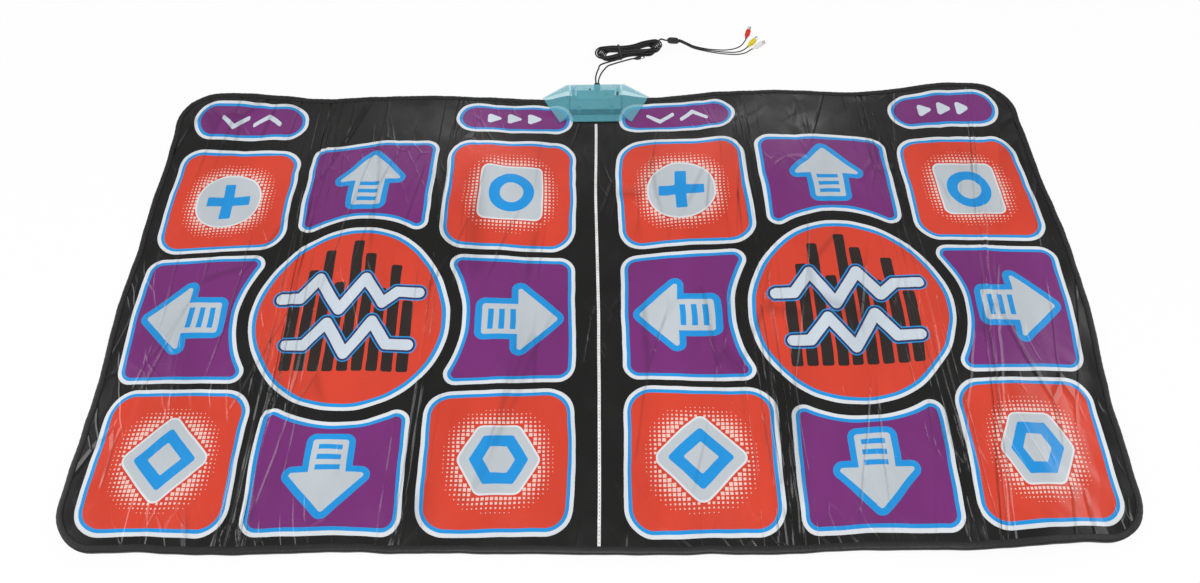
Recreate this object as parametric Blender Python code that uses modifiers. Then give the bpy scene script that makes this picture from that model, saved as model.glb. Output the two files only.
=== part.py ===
"""Two-player electronic dance mat with a clamped control box and a folded audio-video lead.

Metres, +Z up. The origin is the centre of the mat's underside: +X runs to the second player,
+Y to the rear edge, where the control box sits, and the mat lies on z = 0.
"""

import math

import bmesh
import bpy
from mathutils import Matrix, Vector

# Mat
MAT_WIDTH = 1.650
MAT_DEPTH = 0.900
MAT_CORNER_RADIUS = 0.075

# Layers, from the floor up, each with a gap to the next
LAYER_GAP = 0.0003
BASE_THICKNESS = 0.0006
FOAM_THICKNESS = 0.0030
FILM_THICKNESS = 0.0003
SPACER_THICKNESS = 0.0020
COVER_THICKNESS = 0.0006

# Binding tape, a C section folded round the rim
BINDING_WIDTH = 0.011
BINDING_THICKNESS = 0.0006

# Margins of each player's field of pads, and gaps between the pads
SIDE_MARGIN = 0.030
MIDDLE_MARGIN = 0.039
FRONT_MARGIN = 0.022
REAR_MARGIN = 0.021
BUTTON_GAP = 0.023
BUTTON_INSET = 0.0055
SIDE_ARROW_GAP = 0.0105
FRONT_ARROW_GAP = 0.019

# Pads
CORNER_PAD_RADIUS = 0.046
ARROW_HALF_WIDTH_X = 0.1245
ARROW_HALF_WIDTH_Y = 0.121
ARROW_HOLLOW_RADIUS = 0.193
ARROW_OUTER_RADIUS = 0.028
ARROW_TIP_RADIUS = 0.014
BUTTON_LENGTH = 0.228
BUTTON_WIDTH = 0.088
PAD_CLEARANCE = 0.0004
PAD_TRAVEL = 0.0016
CONTACT_INSET = 0.008
WINDOW_MARGIN = 0.0030

# Tape sewn along the middle, from the box to the front binding
CENTRE_TAPE_WIDTH = 0.005
CENTRE_TAPE_THICKNESS = 0.0003

# Control box, with distances along Y measured from the mat's rear edge
BOX_HALF_WIDTH = 0.052
BOX_FRONT = -0.054
BOX_REAR = 0.014
BOX_TOP = 0.0270
BOX_WALL = 0.0018
BOX_EDGE_RADIUS = 0.0030
BOX_DRAFT = 0.0012
FLANGE_THICKNESS = 0.0016
FLANGE_SEAT_GAP = 0.0003
WING_TIP = (0.1055, -0.0080)
WING_REAR = (0.0562, 0.0122)
WING_POINT = (0.0700, -0.0715)
WING_NOTCH = (0.0580, -0.0635)
WING_ROOT = 0.0495
WING_TOP = 0.0264
WING_WALL = 0.0016
LIP_CORNER = (0.0470, -0.0700)
TRAY_FLOOR = 0.0020
TRAY_WALL = 0.0018
TRAY_WALL_FRONT = 0.0025
TRAY_NECK_HALF_WIDTH = 0.0360
NOTCH_CLEARANCE = 0.0010
BOSS_RADIUS = 0.0036
BOSS_FRONT_X = 0.0320
BOSS_FRONT_Y = -0.0465
BOSS_REAR_X = 0.0445
BOSS_REAR_Y = 0.0072
SCREW_RADIUS = 0.0013
SCREW_HEAD_RADIUS = 0.0026
SCREW_HEAD_HEIGHT = 0.0014
SCREW_HEAD_RECESS = 0.0004
SCREW_TIP = 0.0180
SCREW_CLEARANCE = 0.0003

# Circuit board and what is on it
BOARD_SIZE = (0.076, 0.021)
BOARD_THICKNESS = 0.0016
BOARD_CENTRE_Y = -0.0005
BOARD_UNDERSIDE = 0.0096
BOARD_POST_X = 0.030
BOARD_POST_Y = 0.0072
BOARD_POST_RADIUS = 0.0020
CHIP_RADIUS = 0.0045
CHIP_HEIGHT = 0.0020
CHIP_X = 0.022
CLAMP_SIZE = (0.040, 0.0046)
CLAMP_HEIGHT = 0.0024
CLAMP_Y = 0.0052
TAIL_WIDTH = 0.036
TAIL_THICKNESS = 0.0004

# Switch and lamp in the top of the box
SWITCH_X = 0.0430
SWITCH_Y = -0.0130
SWITCH_KNOB = (0.0034, 0.0050)
SWITCH_HEIGHT = 0.0050
SWITCH_STAND = 0.0014
SWITCH_TRAVEL = 0.0040
SWITCH_CLEARANCE = 0.0004
LED_X = -0.0110
LED_Y = -0.0010
LED_RADIUS = 0.0018
LED_CLEARANCE = 0.0003

# Gland in the rear wall
GLAND_X = 0.0030
GLAND_HEIGHT = 0.0165
GLAND_HALF_LENGTH = 0.0058
GLAND_RADIUS = 0.0036
GLAND_COLLAR = 0.0008
GLAND_REACH = 0.0080
GLAND_CLEARANCE = 0.0003

# Leads
AV_LEAD = 0.0032
POWER_LEAD = 0.0030
PLUG_LEAD = 0.0024
LEAD_GAP = 0.0003
AV_EXIT_X = 0.0006
POWER_EXIT_X = 0.0058

# Hank of the audio-video lead: turns that spiral in and out again in layers
HANK_CENTRE = (0.0695, 0.1205)
HANK_ANGLE = math.radians(10.5)
HANK_HALF_LENGTH = 0.0725
HANK_END_RADIUS = 0.0168
HANK_STEP = 0.0037
HANK_TURNS_IN_LAYER = 2
HANK_LAYERS = 4
HANK_LAYER_STEP = 0.0037
HANK_SHORTER = (0.0150, 0.0100, 0.0050, 0.0)
HANK_WAIST = 0.0072
HANK_WAIST_REACH = 0.0250
HANK_LEAVE = 0.0012
HANK_LIFT = 0.0013
HANK_ARC_POINTS = 7
HANK_RUN_POINTS = 5
TIE_AT = -0.020
TIE_WIDTH = 0.004
TIE_THICKNESS = 0.0007
TIE_CLEARANCE = 0.0004

# Splitter, where the lead parts into three
SPLITTER_SIZE = (0.023, 0.0125, 0.0078)
SPLITTER_CENTRE = (0.1610, 0.1445, 0.0118)
SPLITTER_ANGLE = math.radians(4.0)
SPLITTER_SLOPE = math.radians(-9.0)
TAIL_SPACING = 0.0032

# Phono plugs: rear end of the grip, along Y from the rear edge, and heading
PLUG_GRIP_RADIUS = 0.0054
PLUG_GRIP_LENGTH = 0.0240
PLUG_CONTACT_RADIUS = 0.0041
PLUG_CONTACT_LENGTH = 0.0085
PLUG_PIN_RADIUS = 0.0016
PLUG_PIN_LENGTH = 0.0070
PLUGS = {
    "red": ((0.3144, 0.1545), math.radians(72.0)),
    "yellow": ((0.3162, 0.1310), math.radians(50.0)),
    "white": ((0.3250, 0.1245), math.radians(35.0)),
}

# Low-voltage plug of the power lead
POWER_PLUG_AT = (0.0790, 0.1028)
POWER_PLUG_ANGLE = math.radians(9.0)
POWER_GRIP_RADIUS = 0.0036
POWER_GRIP_LENGTH = 0.0140
POWER_CONTACT_RADIUS = 0.00275
POWER_CONTACT_LENGTH = 0.0090

# Routes of the leads in metres: X, Y from the rear edge, Z
AV_ROOT_ROUTE = [
    (0.0002, 0.0425, 0.0125),
    (0.0022, 0.0600, 0.0070),
    (0.0062, 0.0760, 0.0036),
    (0.0125, 0.0885, 0.0034),
]
POWER_ROUTE = [
    (0.0074, 0.0425, 0.0120),
    (0.0112, 0.0600, 0.0055),
    (0.0166, 0.0735, 0.0018),
    (0.0250, 0.0850, 0.0017),
    (0.0370, 0.0908, 0.0017),
    (0.0520, 0.0963, 0.0020),
    (0.0660, 0.1003, 0.0030),
]
TAIL_ROUTES = {
    "red": [
        (0.1915, 0.1437, 0.0052),
        (0.2060, 0.1382, 0.0015),
        (0.2310, 0.1302, 0.0014),
        (0.2500, 0.1272, 0.0014),
        (0.2710, 0.1262, 0.0014),
        (0.2900, 0.1300, 0.0014),
        (0.3035, 0.1378, 0.0022),
    ],
    "yellow": [
        (0.1915, 0.1404, 0.0052),
        (0.2060, 0.1350, 0.0015),
        (0.2310, 0.1267, 0.0014),
        (0.2500, 0.1229, 0.0014),
        (0.2710, 0.1200, 0.0014),
        (0.2890, 0.1194, 0.0014),
        (0.3030, 0.1222, 0.0024),
    ],
    "white": [
        (0.1915, 0.1371, 0.0052),
        (0.2060, 0.1317, 0.0015),
        (0.2310, 0.1231, 0.0014),
        (0.2500, 0.1183, 0.0014),
        (0.2730, 0.1143, 0.0014),
        (0.2930, 0.1132, 0.0014),
        (0.3090, 0.1158, 0.0024),
    ],
}

# Way over the hank, in its own plan: along, across and height above the layer over its top
OVER_HANK = [
    (0.0205, -0.0140, -0.0031),
    (0.0300, -0.0153, -0.0013),
    (0.0400, -0.0137, 0.0003),
    (0.0500, -0.0084, 0.0005),
    (0.0575, -0.0010, 0.0005),
    (0.0640, 0.0064, 0.0003),
    (0.0700, 0.0112, -0.0010),
]

# Fineness of round stretches
CORNER_STEPS = 4
HIDDEN_STEPS = 3
HOLLOW_STEPS = 8
MAT_CORNER_STEPS = 8
TURNED_STEPS = 16

# Heights of the layers' undersides
BASE_Z = 0.0
FOAM_Z = BASE_Z + BASE_THICKNESS + LAYER_GAP
FILM_BOTTOM_Z = FOAM_Z + FOAM_THICKNESS + LAYER_GAP
SPACER_Z = FILM_BOTTOM_Z + FILM_THICKNESS + LAYER_GAP
FILM_TOP_Z = SPACER_Z + SPACER_THICKNESS + LAYER_GAP
COVER_Z = FILM_TOP_Z + FILM_THICKNESS + LAYER_GAP
COVER_TOP = COVER_Z + COVER_THICKNESS
BINDING_TOP_Z = COVER_TOP + LAYER_GAP
BINDING_HEIGHT = BINDING_TOP_Z + BINDING_THICKNESS
FLANGE_Z = BINDING_HEIGHT + FLANGE_SEAT_GAP
BODY_Z = COVER_TOP + FLANGE_SEAT_GAP
PAD_CONTACT_Z = FILM_BOTTOM_Z + FILM_THICKNESS + LAYER_GAP + PAD_TRAVEL

REAR = MAT_DEPTH / 2
LAYER_INSET = BINDING_THICKNESS + LAYER_GAP

# Places of the pads, from each player's own centre, which is the centre of the printed disc
BUTTON_ROW = REAR_MARGIN + BUTTON_WIDTH + BUTTON_GAP
ARROW_OUTER_X = (MAT_WIDTH / 2 - MIDDLE_MARGIN - SIDE_MARGIN) / 2
ARROW_OUTER_Y = (MAT_DEPTH - FRONT_MARGIN - BUTTON_ROW) / 2
PLAYER_CENTRE_X = MIDDLE_MARGIN + ARROW_OUTER_X
DISC_CENTRE_Y = FRONT_MARGIN + ARROW_OUTER_Y - REAR
CORNER_PAD_WIDTH = ARROW_OUTER_X - ARROW_HALF_WIDTH_Y - FRONT_ARROW_GAP
CORNER_PAD_DEPTH = ARROW_OUTER_Y - ARROW_HALF_WIDTH_X - SIDE_ARROW_GAP
CORNER_PAD_X = ARROW_OUTER_X - CORNER_PAD_WIDTH / 2
CORNER_PAD_Y = ARROW_OUTER_Y - CORNER_PAD_DEPTH / 2
BUTTON_X = ARROW_OUTER_X - BUTTON_INSET - BUTTON_LENGTH / 2
BUTTON_Y = ARROW_OUTER_Y + BUTTON_GAP + BUTTON_WIDTH / 2

# Notch for the control box's tray
NOTCH_HALF_WIDTH = TRAY_NECK_HALF_WIDTH + NOTCH_CLEARANCE
NOTCH_FRONT = REAR + BOX_FRONT - NOTCH_CLEARANCE

COLOURS = {
    "black_pvc": ((0.028, 0.028, 0.027), 0.35, 0.0),
    "orange_print": ((0.73, 0.075, 0.042), 0.4, 0.0),
    "purple_print": ((0.215, 0.045, 0.20), 0.4, 0.0),
    "black_tape": ((0.018, 0.018, 0.018), 0.7, 0.0),
    "white_tape": ((0.82, 0.82, 0.80), 0.7, 0.0),
    "grey_film": ((0.45, 0.45, 0.46), 0.3, 0.0),
    "white_foam": ((0.80, 0.80, 0.78), 0.9, 0.0),
    "backing": ((0.06, 0.06, 0.065), 0.9, 0.0),
    "blue_clear": ((0.20, 0.52, 0.58), 0.15, 0.0),
    "board": ((0.55, 0.45, 0.25), 0.5, 0.0),
    "black_plastic": ((0.015, 0.015, 0.015), 0.4, 0.0),
    "steel": ((0.60, 0.60, 0.60), 0.25, 1.0),
    "lead_black": ((0.022, 0.022, 0.022), 0.45, 0.0),
    "plug_red": ((0.75, 0.06, 0.03), 0.35, 0.0),
    "plug_yellow": ((0.80, 0.68, 0.04), 0.35, 0.0),
    "plug_white": ((0.85, 0.85, 0.83), 0.35, 0.0),
}


def clear_scene():
    for item in list(bpy.data.objects):
        bpy.data.objects.remove(item, do_unlink=True)


def new_collection(name):
    collection = bpy.data.collections.new(name)
    bpy.context.scene.collection.children.link(collection)
    return collection


def material(name):
    """The named material, made on first use."""
    found = bpy.data.materials.get(name)
    if found:
        return found
    colour, roughness, metallic = COLOURS[name]
    made = bpy.data.materials.new(name)
    made.use_nodes = True
    shader = made.node_tree.nodes["Principled BSDF"]
    shader.inputs["Base Color"].default_value = (*colour, 1.0)
    shader.inputs["Roughness"].default_value = roughness
    shader.inputs["Metallic"].default_value = metallic
    return made


clear_scene()
PARTS = new_collection("dance_mat")
CUTTERS = new_collection("cutters")


def add_object(name, data, finish, collection=None):
    """Link data as an object and give it its finish."""
    made = bpy.data.objects.new(name, data)
    (collection or PARTS).objects.link(made)
    if finish:
        data.materials.append(material(finish))
    return made


def as_cutter(made):
    """Hide a guide or cutter from the finished part."""
    for owner in list(made.users_collection):
        owner.objects.unlink(made)
    CUTTERS.objects.link(made)
    made.hide_render = True
    made.display_type = "WIRE"
    return made


def cut(target, tool, operation="DIFFERENCE"):
    """Cut, join or intersect the target with a tool object."""
    modifier = target.modifiers.new(operation.lower(), "BOOLEAN")
    modifier.operation = operation
    modifier.solver = "EXACT"
    modifier.object = as_cutter(tool)


def arc(cx, cy, radius, start, end, steps):
    """Points of an arc, angles in degrees, both ends included."""
    points = []
    for step in range(steps + 1):
        angle = math.radians(start + (end - start) * step / steps)
        points.append((cx + radius * math.cos(angle), cy + radius * math.sin(angle)))
    return points


def rounded_rectangle(half_x, half_y, radius, cx=0.0, cy=0.0, steps=CORNER_STEPS):
    """Outline of a rectangle with round corners, anticlockwise from its right side."""
    points = []
    for side_x, side_y, start in ((1, 1, 0), (-1, 1, 90), (-1, -1, 180), (1, -1, 270)):
        corner_x = cx + side_x * (half_x - radius)
        corner_y = cy + side_y * (half_y - radius)
        points += arc(corner_x, corner_y, radius, start, start + 90, steps)
    return points


def corner_pad_outline(grow, steps):
    half_x = CORNER_PAD_WIDTH / 2 + grow
    half_y = CORNER_PAD_DEPTH / 2 + grow
    return rounded_rectangle(half_x, half_y, CORNER_PAD_RADIUS + grow, steps=steps)


def button_outline(grow, steps):
    radius = BUTTON_WIDTH / 2 + grow
    reach = BUTTON_LENGTH / 2 - BUTTON_WIDTH / 2
    right = arc(reach, 0, radius, -90, 90, 2 * steps)
    left = arc(-reach, 0, radius, 90, 270, 2 * steps)
    return right + left


def arrow_pad_outline(half_width, outer, grow, steps):
    """Outline of an arrow pad round the disc's centre, with its hollow side towards the disc.

    The pad lies on the +Y side. Its two inner tips are rounded between the side and the hollow.
    """
    side = half_width + grow
    top = outer + grow
    hollow = ARROW_HOLLOW_RADIUS - grow
    tip = ARROW_TIP_RADIUS + grow
    round_outer = ARROW_OUTER_RADIUS + grow
    tip_x = side - tip
    tip_y = math.sqrt((hollow + tip) ** 2 - tip_x ** 2)
    lean = math.degrees(math.atan2(tip_y, tip_x))
    hollow_steps = HOLLOW_STEPS if steps > HIDDEN_STEPS else 2 * HIDDEN_STEPS
    points = arc(tip_x, tip_y, tip, lean - 180, 0, steps)
    points += arc(side - round_outer, top - round_outer, round_outer, 0, 90, steps)
    points += arc(round_outer - side, top - round_outer, round_outer, 90, 180, steps)
    points += arc(-tip_x, tip_y, tip, 180, 360 - lean, steps)
    points += arc(0, 0, hollow, 180 - lean, lean, hollow_steps)[1:-1]
    return points


def turned_outline(points, quarter):
    """The outline turned by quarter turns about the origin."""
    for _ in range(quarter % 4):
        points = [(-y, x) for x, y in points]
    return points


def moved_outline(points, dx, dy):
    return [(x + dx, y + dy) for x, y in points]


def pad_plan():
    """Each pad's name, centre and outline function of growth and fineness, about that centre."""
    plan = []
    for player, centre_x in (("p1", -PLAYER_CENTRE_X), ("p2", PLAYER_CENTRE_X)):
        arrows = (
            ("up", 0, ARROW_HALF_WIDTH_Y, ARROW_OUTER_Y),
            ("left", 1, ARROW_HALF_WIDTH_X, ARROW_OUTER_X),
            ("down", 2, ARROW_HALF_WIDTH_Y, ARROW_OUTER_Y),
            ("right", 3, ARROW_HALF_WIDTH_X, ARROW_OUTER_X),
        )
        for name, quarter, half_width, outer in arrows:
            middle = (ARROW_HOLLOW_RADIUS + outer) / 2
            offset = turned_outline([(0.0, middle)], quarter)[0]

            def outline(grow, steps, q=quarter, w=half_width, o=outer, off=offset):
                shape = turned_outline(arrow_pad_outline(w, o, grow, steps), q)
                return moved_outline(shape, -off[0], -off[1])

            centre = (centre_x + offset[0], DISC_CENTRE_Y + offset[1])
            plan.append((f"{player}_pad_{name}", centre, outline, "purple_print"))
        corners = (
            ("rear_left", -1, 1),
            ("rear_right", 1, 1),
            ("front_left", -1, -1),
            ("front_right", 1, -1),
        )
        for name, side_x, side_y in corners:
            centre = (centre_x + side_x * CORNER_PAD_X, DISC_CENTRE_Y + side_y * CORNER_PAD_Y)
            plan.append((f"{player}_pad_{name}", centre, corner_pad_outline, "orange_print"))
        for name, side_x in (("select", -1), ("start", 1)):
            centre = (centre_x + side_x * BUTTON_X, DISC_CENTRE_Y + BUTTON_Y)
            plan.append((f"{player}_button_{name}", centre, button_outline, "purple_print"))
    return plan


def mat_outline(inset, notched=False):
    """Outline of the mat, or of a layer set in from its rim, with the box's notch if it has one."""
    half_x = MAT_WIDTH / 2 - inset
    half_y = MAT_DEPTH / 2 - inset
    points = rounded_rectangle(half_x, half_y, MAT_CORNER_RADIUS - inset, steps=MAT_CORNER_STEPS)
    if not notched:
        return points
    notch = [
        (NOTCH_HALF_WIDTH, half_y),
        (NOTCH_HALF_WIDTH, NOTCH_FRONT),
        (-NOTCH_HALF_WIDTH, NOTCH_FRONT),
        (-NOTCH_HALF_WIDTH, half_y),
    ]
    first_corner = MAT_CORNER_STEPS + 1
    return points[:first_corner] + notch + points[first_corner:]


def curve_to_mesh(made):
    """Swap a curve object for its mesh, with the loose caps welded on."""
    depsgraph = bpy.context.evaluated_depsgraph_get()
    mesh = bpy.data.meshes.new_from_object(made.evaluated_get(depsgraph))
    shape = bmesh.new()
    shape.from_mesh(mesh)
    bmesh.ops.remove_doubles(shape, verts=shape.verts, dist=0.000005)
    bmesh.ops.recalc_face_normals(shape, faces=shape.faces)
    shape.to_mesh(mesh)
    shape.free()
    swapped = bpy.data.objects.new(made.name, mesh)
    for owner in made.users_collection:
        owner.objects.link(swapped)
    swapped.matrix_world = made.matrix_world.copy()
    name = made.name
    bpy.data.objects.remove(made, do_unlink=True)
    swapped.name = name
    return swapped


def sheet(name, outlines, underside, thickness, finish):
    """A flat piece: the first outline is its rim and the others are its openings."""
    flat = bpy.data.curves.new(name, "CURVE")
    flat.dimensions = "2D"
    flat.fill_mode = "BOTH"
    flat.extrude = thickness / 2
    for outline in outlines:
        spline = flat.splines.new("POLY")
        spline.points.add(len(outline) - 1)
        for point, (x, y) in zip(spline.points, outline):
            point.co = (x, y, 0.0, 1.0)
        spline.use_cyclic_u = True
    made = add_object(name, flat, finish)
    made.location.z = underside + thickness / 2
    bpy.context.view_layer.update()
    return curve_to_mesh(made)


def block(name, size, centre, finish=None):
    """A box of the given size about its centre."""
    shape = bmesh.new()
    bmesh.ops.create_cube(shape, size=1.0)
    bmesh.ops.scale(shape, vec=size, verts=shape.verts)
    mesh = bpy.data.meshes.new(name)
    shape.to_mesh(mesh)
    shape.free()
    made = add_object(name, mesh, finish)
    made.location = centre
    return made


def cylinder(name, radius, bottom, top, x, y, finish=None, steps=TURNED_STEPS, top_radius=None):
    """An upright cylinder or cone between two heights."""
    shape = bmesh.new()
    bmesh.ops.create_cone(
        shape,
        cap_ends=True,
        segments=steps,
        radius1=radius,
        radius2=radius if top_radius is None else top_radius,
        depth=top - bottom,
    )
    mesh = bpy.data.meshes.new(name)
    shape.to_mesh(mesh)
    shape.free()
    made = add_object(name, mesh, finish)
    made.location = (x, y, (bottom + top) / 2)
    return made


def bevelled(made, width, segments=2):
    modifier = made.modifiers.new("edges", "BEVEL")
    modifier.width = width
    modifier.segments = segments
    modifier.limit_method = "ANGLE"
    return made


def heading(angle, slope=0.0):
    """Unit vector at an angle in plan and a slope above it."""
    level = math.cos(slope)
    return Vector((math.cos(angle) * level, math.sin(angle) * level, math.sin(slope)))


def turned(name, profile, start, direction, finish, steps=TURNED_STEPS):
    """A turned piece. The profile gives distance along the axis and radius, tip first."""
    shape = bmesh.new()
    verts = [shape.verts.new((radius, 0.0, along)) for along, radius in profile]
    for first, second in zip(verts, verts[1:]):
        shape.edges.new((first, second))
    mesh = bpy.data.meshes.new(name)
    shape.to_mesh(mesh)
    shape.free()
    made = add_object(name, mesh, finish)
    screw = made.modifiers.new("turn", "SCREW")
    screw.steps = steps
    screw.render_steps = steps
    screw.use_merge_vertices = True
    screw.merge_threshold = 0.00001
    made.location = start
    made.rotation_euler = direction.to_track_quat("Z", "Y").to_euler()
    return made


def smooth_route(points, spacing):
    """Evenly spaced points on one smooth curve through the given points."""
    knots = [Vector(point) for point in points]
    ends = [2 * knots[0] - knots[1]] + knots + [2 * knots[-1] - knots[-2]]
    fine = []
    for index in range(1, len(ends) - 2):
        before, first, second, after = ends[index - 1:index + 3]
        for step in range(24):
            t = step / 24
            bend = (2 * before - 5 * first + 4 * second - after) * t * t
            twist = (3 * first - before - 3 * second + after) * t ** 3
            fine.append(0.5 * (2 * first + (second - before) * t + bend + twist))
    fine.append(knots[-1])
    lengths = [0.0]
    for first, second in zip(fine, fine[1:]):
        lengths.append(lengths[-1] + (second - first).length)
    count = max(3, round(lengths[-1] / spacing))
    route = []
    index = 0
    for step in range(count + 1):
        target = lengths[-1] * step / count
        while index < len(lengths) - 2 and lengths[index + 1] < target:
            index += 1
        share = (target - lengths[index]) / (lengths[index + 1] - lengths[index])
        route.append(fine[index].lerp(fine[index + 1], min(1.0, share)))
    return route


def tube(name, points, diameter, finish, resolution=2):
    """A round lead along the given points."""
    path = bpy.data.curves.new(name, "CURVE")
    path.dimensions = "3D"
    path.bevel_depth = diameter / 2
    path.bevel_resolution = resolution
    path.use_fill_caps = True
    spline = path.splines.new("POLY")
    spline.points.add(len(points) - 1)
    for point, place in zip(spline.points, points):
        point.co = (*place, 1.0)
    return add_object(name, path, finish)


def from_rear(point):
    """A point whose Y is given from the rear edge."""
    x, y, z = point
    return Vector((x, y + REAR, z))


# Layers of the mat


def make_pad(name, centre, outline, finish):
    """A printed patch with the contact patch of the upper film on its underside."""
    shape = bmesh.new()
    rim = [shape.verts.new((x, y, 0.0)) for x, y in outline(-PAD_CLEARANCE, CORNER_STEPS)]
    patch = shape.faces.new(rim)
    raised = bmesh.ops.extrude_face_region(shape, geom=[patch])
    lifted = [item for item in raised["geom"] if isinstance(item, bmesh.types.BMVert)]
    bmesh.ops.translate(shape, vec=(0.0, 0.0, COVER_THICKNESS), verts=lifted)
    patch.normal_update()
    bmesh.ops.recalc_face_normals(shape, faces=shape.faces)
    bmesh.ops.inset_region(shape, faces=[patch], thickness=CONTACT_INSET, use_even_offset=True)
    sunk = bmesh.ops.extrude_face_region(shape, geom=[patch])
    lowered = [item for item in sunk["geom"] if isinstance(item, bmesh.types.BMVert)]
    bmesh.ops.translate(shape, vec=(0.0, 0.0, PAD_CONTACT_Z - COVER_Z), verts=lowered)
    if patch.is_valid:
        bmesh.ops.delete(shape, geom=[patch], context="FACES_ONLY")
    bmesh.ops.recalc_face_normals(shape, faces=shape.faces)
    mesh = bpy.data.meshes.new(name)
    shape.to_mesh(mesh)
    shape.free()
    made = add_object(name, mesh, finish)
    made.location = (centre[0], centre[1], COVER_Z)
    return made


def pad_windows(plan, grow, steps, side=0):
    """Openings for the pads, of both players or of the one on a side."""
    windows = []
    for _, centre, outline, _ in plan:
        if side * centre[0] >= 0:
            windows.append(moved_outline(outline(grow, steps), *centre))
    return windows


def screw_hole(x, y, radius):
    return arc(x, y, radius, 0, 330, 11)


def make_mat(plan):
    for name, centre, outline, finish in plan:
        make_pad(name, centre, outline, finish)
    front_y = REAR + BOSS_FRONT_Y
    hole_radius = SCREW_RADIUS + 2 * SCREW_CLEARANCE
    holes = [screw_hole(side * BOSS_FRONT_X, front_y, hole_radius) for side in (-1, 1)]
    windows = pad_windows(plan, 0.0, CORNER_STEPS)
    rim = mat_outline(LAYER_INSET)
    sheet("top_cover", [rim] + windows + holes, COVER_Z, COVER_THICKNESS, "black_pvc")
    rim = mat_outline(LAYER_INSET, notched=True)
    windows = pad_windows(plan, WINDOW_MARGIN, HIDDEN_STEPS)
    sheet("sensor_film_top", [rim] + windows, FILM_TOP_Z, FILM_THICKNESS, "grey_film")
    for name, side in (("spacer_foam_left", -1), ("spacer_foam_right", 1)):
        windows = pad_windows(plan, WINDOW_MARGIN, HIDDEN_STEPS, side)
        half = half_mat_outline(side)
        sheet(name, [half] + windows, SPACER_Z, SPACER_THICKNESS, "white_foam")
    sheet("sensor_film_bottom", [rim], FILM_BOTTOM_Z, FILM_THICKNESS, "grey_film")
    sheet("foam_pad", [rim], FOAM_Z, FOAM_THICKNESS, "white_foam")
    under = mat_outline(BINDING_WIDTH + LAYER_GAP, notched=True)
    sheet("base_sheet", [under], BASE_Z, BASE_THICKNESS, "backing")
    make_centre_tape()
    make_binding()


def half_mat_outline(side):
    """One player's half of a layer that stops at the middle and goes round the box's notch."""
    half_x = MAT_WIDTH / 2 - LAYER_INSET
    half_y = MAT_DEPTH / 2 - LAYER_INSET
    radius = MAT_CORNER_RADIUS - LAYER_INSET
    middle = LAYER_GAP / 2
    points = [(middle, -half_y)]
    points += arc(half_x - radius, radius - half_y, radius, -90, 0, MAT_CORNER_STEPS)
    points += arc(half_x - radius, half_y - radius, radius, 0, 90, MAT_CORNER_STEPS)
    points += [(NOTCH_HALF_WIDTH, half_y), (NOTCH_HALF_WIDTH, NOTCH_FRONT), (middle, NOTCH_FRONT)]
    return [(side * x, y) for x, y in points]


def make_centre_tape():
    """White tape on the cover from the box's lip to the front binding."""
    rear = REAR + LIP_CORNER[1] - LAYER_GAP
    front = BINDING_WIDTH + LAYER_GAP - REAR
    half = CENTRE_TAPE_WIDTH / 2
    outline = [(-half, front), (half, front), (half, rear), (-half, rear)]
    sheet("centre_tape", [outline], COVER_TOP + LAYER_GAP, CENTRE_TAPE_THICKNESS, "white_tape")


def make_binding():
    """C-section tape swept round the rim, from one side of the box to the other."""
    section = bpy.data.curves.new("binding_section", "CURVE")
    section.dimensions = "2D"
    inner = BINDING_THICKNESS
    ring = [
        (0.0, 0.0),
        (BINDING_WIDTH, 0.0),
        (BINDING_WIDTH, BINDING_THICKNESS),
        (inner, BINDING_THICKNESS),
        (inner, BINDING_TOP_Z),
        (BINDING_WIDTH, BINDING_TOP_Z),
        (BINDING_WIDTH, BINDING_HEIGHT),
        (0.0, BINDING_HEIGHT),
    ]
    spline = section.splines.new("POLY")
    spline.points.add(len(ring) - 1)
    for point, (inset, height) in zip(spline.points, ring):
        point.co = (-inset, height, 0.0, 1.0)
    spline.use_cyclic_u = True
    guide = as_cutter(add_object("binding_section", section, None))
    rim = mat_outline(0.0)
    corner = MAT_CORNER_STEPS + 1
    end = (BOX_HALF_WIDTH + NOTCH_CLEARANCE + LAYER_GAP, MAT_DEPTH / 2)
    path_points = [(-end[0], end[1])] + rim[corner:] + rim[:corner] + [end]
    path = bpy.data.curves.new("edge_binding", "CURVE")
    path.dimensions = "2D"
    path.fill_mode = "NONE"
    path.bevel_mode = "OBJECT"
    path.bevel_object = guide
    path.use_fill_caps = True
    spline = path.splines.new("POLY")
    spline.points.add(len(path_points) - 1)
    for point, (x, y) in zip(spline.points, path_points):
        point.co = (x, y, 0.0, 1.0)
    made = add_object("edge_binding", path, "black_tape")
    bpy.context.view_layer.update()
    return curve_to_mesh(made)


# Control box


def body_block(name, half_width, front, rear, bottom, top, draft):
    """A box body whose walls lean in towards its top."""
    made = block(name, (2 * half_width, rear - front, top - bottom), (0, 0, 0))
    made.location = (0.0, REAR + (front + rear) / 2, (bottom + top) / 2)
    for vertex in made.data.vertices:
        if vertex.co.z > 0:
            vertex.co.x -= math.copysign(draft, vertex.co.x)
            vertex.co.y -= math.copysign(draft, vertex.co.y)
    return made


def lip_outline():
    """Outline of the lip in front of the box, from inside its walls."""
    inner = BOX_FRONT + BOX_WALL
    right = [(BOX_HALF_WIDTH - BOX_WALL, inner), (WING_NOTCH[0] - 0.0035, WING_NOTCH[1] + 0.0035), LIP_CORNER]
    left = [(-x, y) for x, y in reversed(right)]
    return [(x, y + REAR) for x, y in reversed(right + left)]


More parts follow.
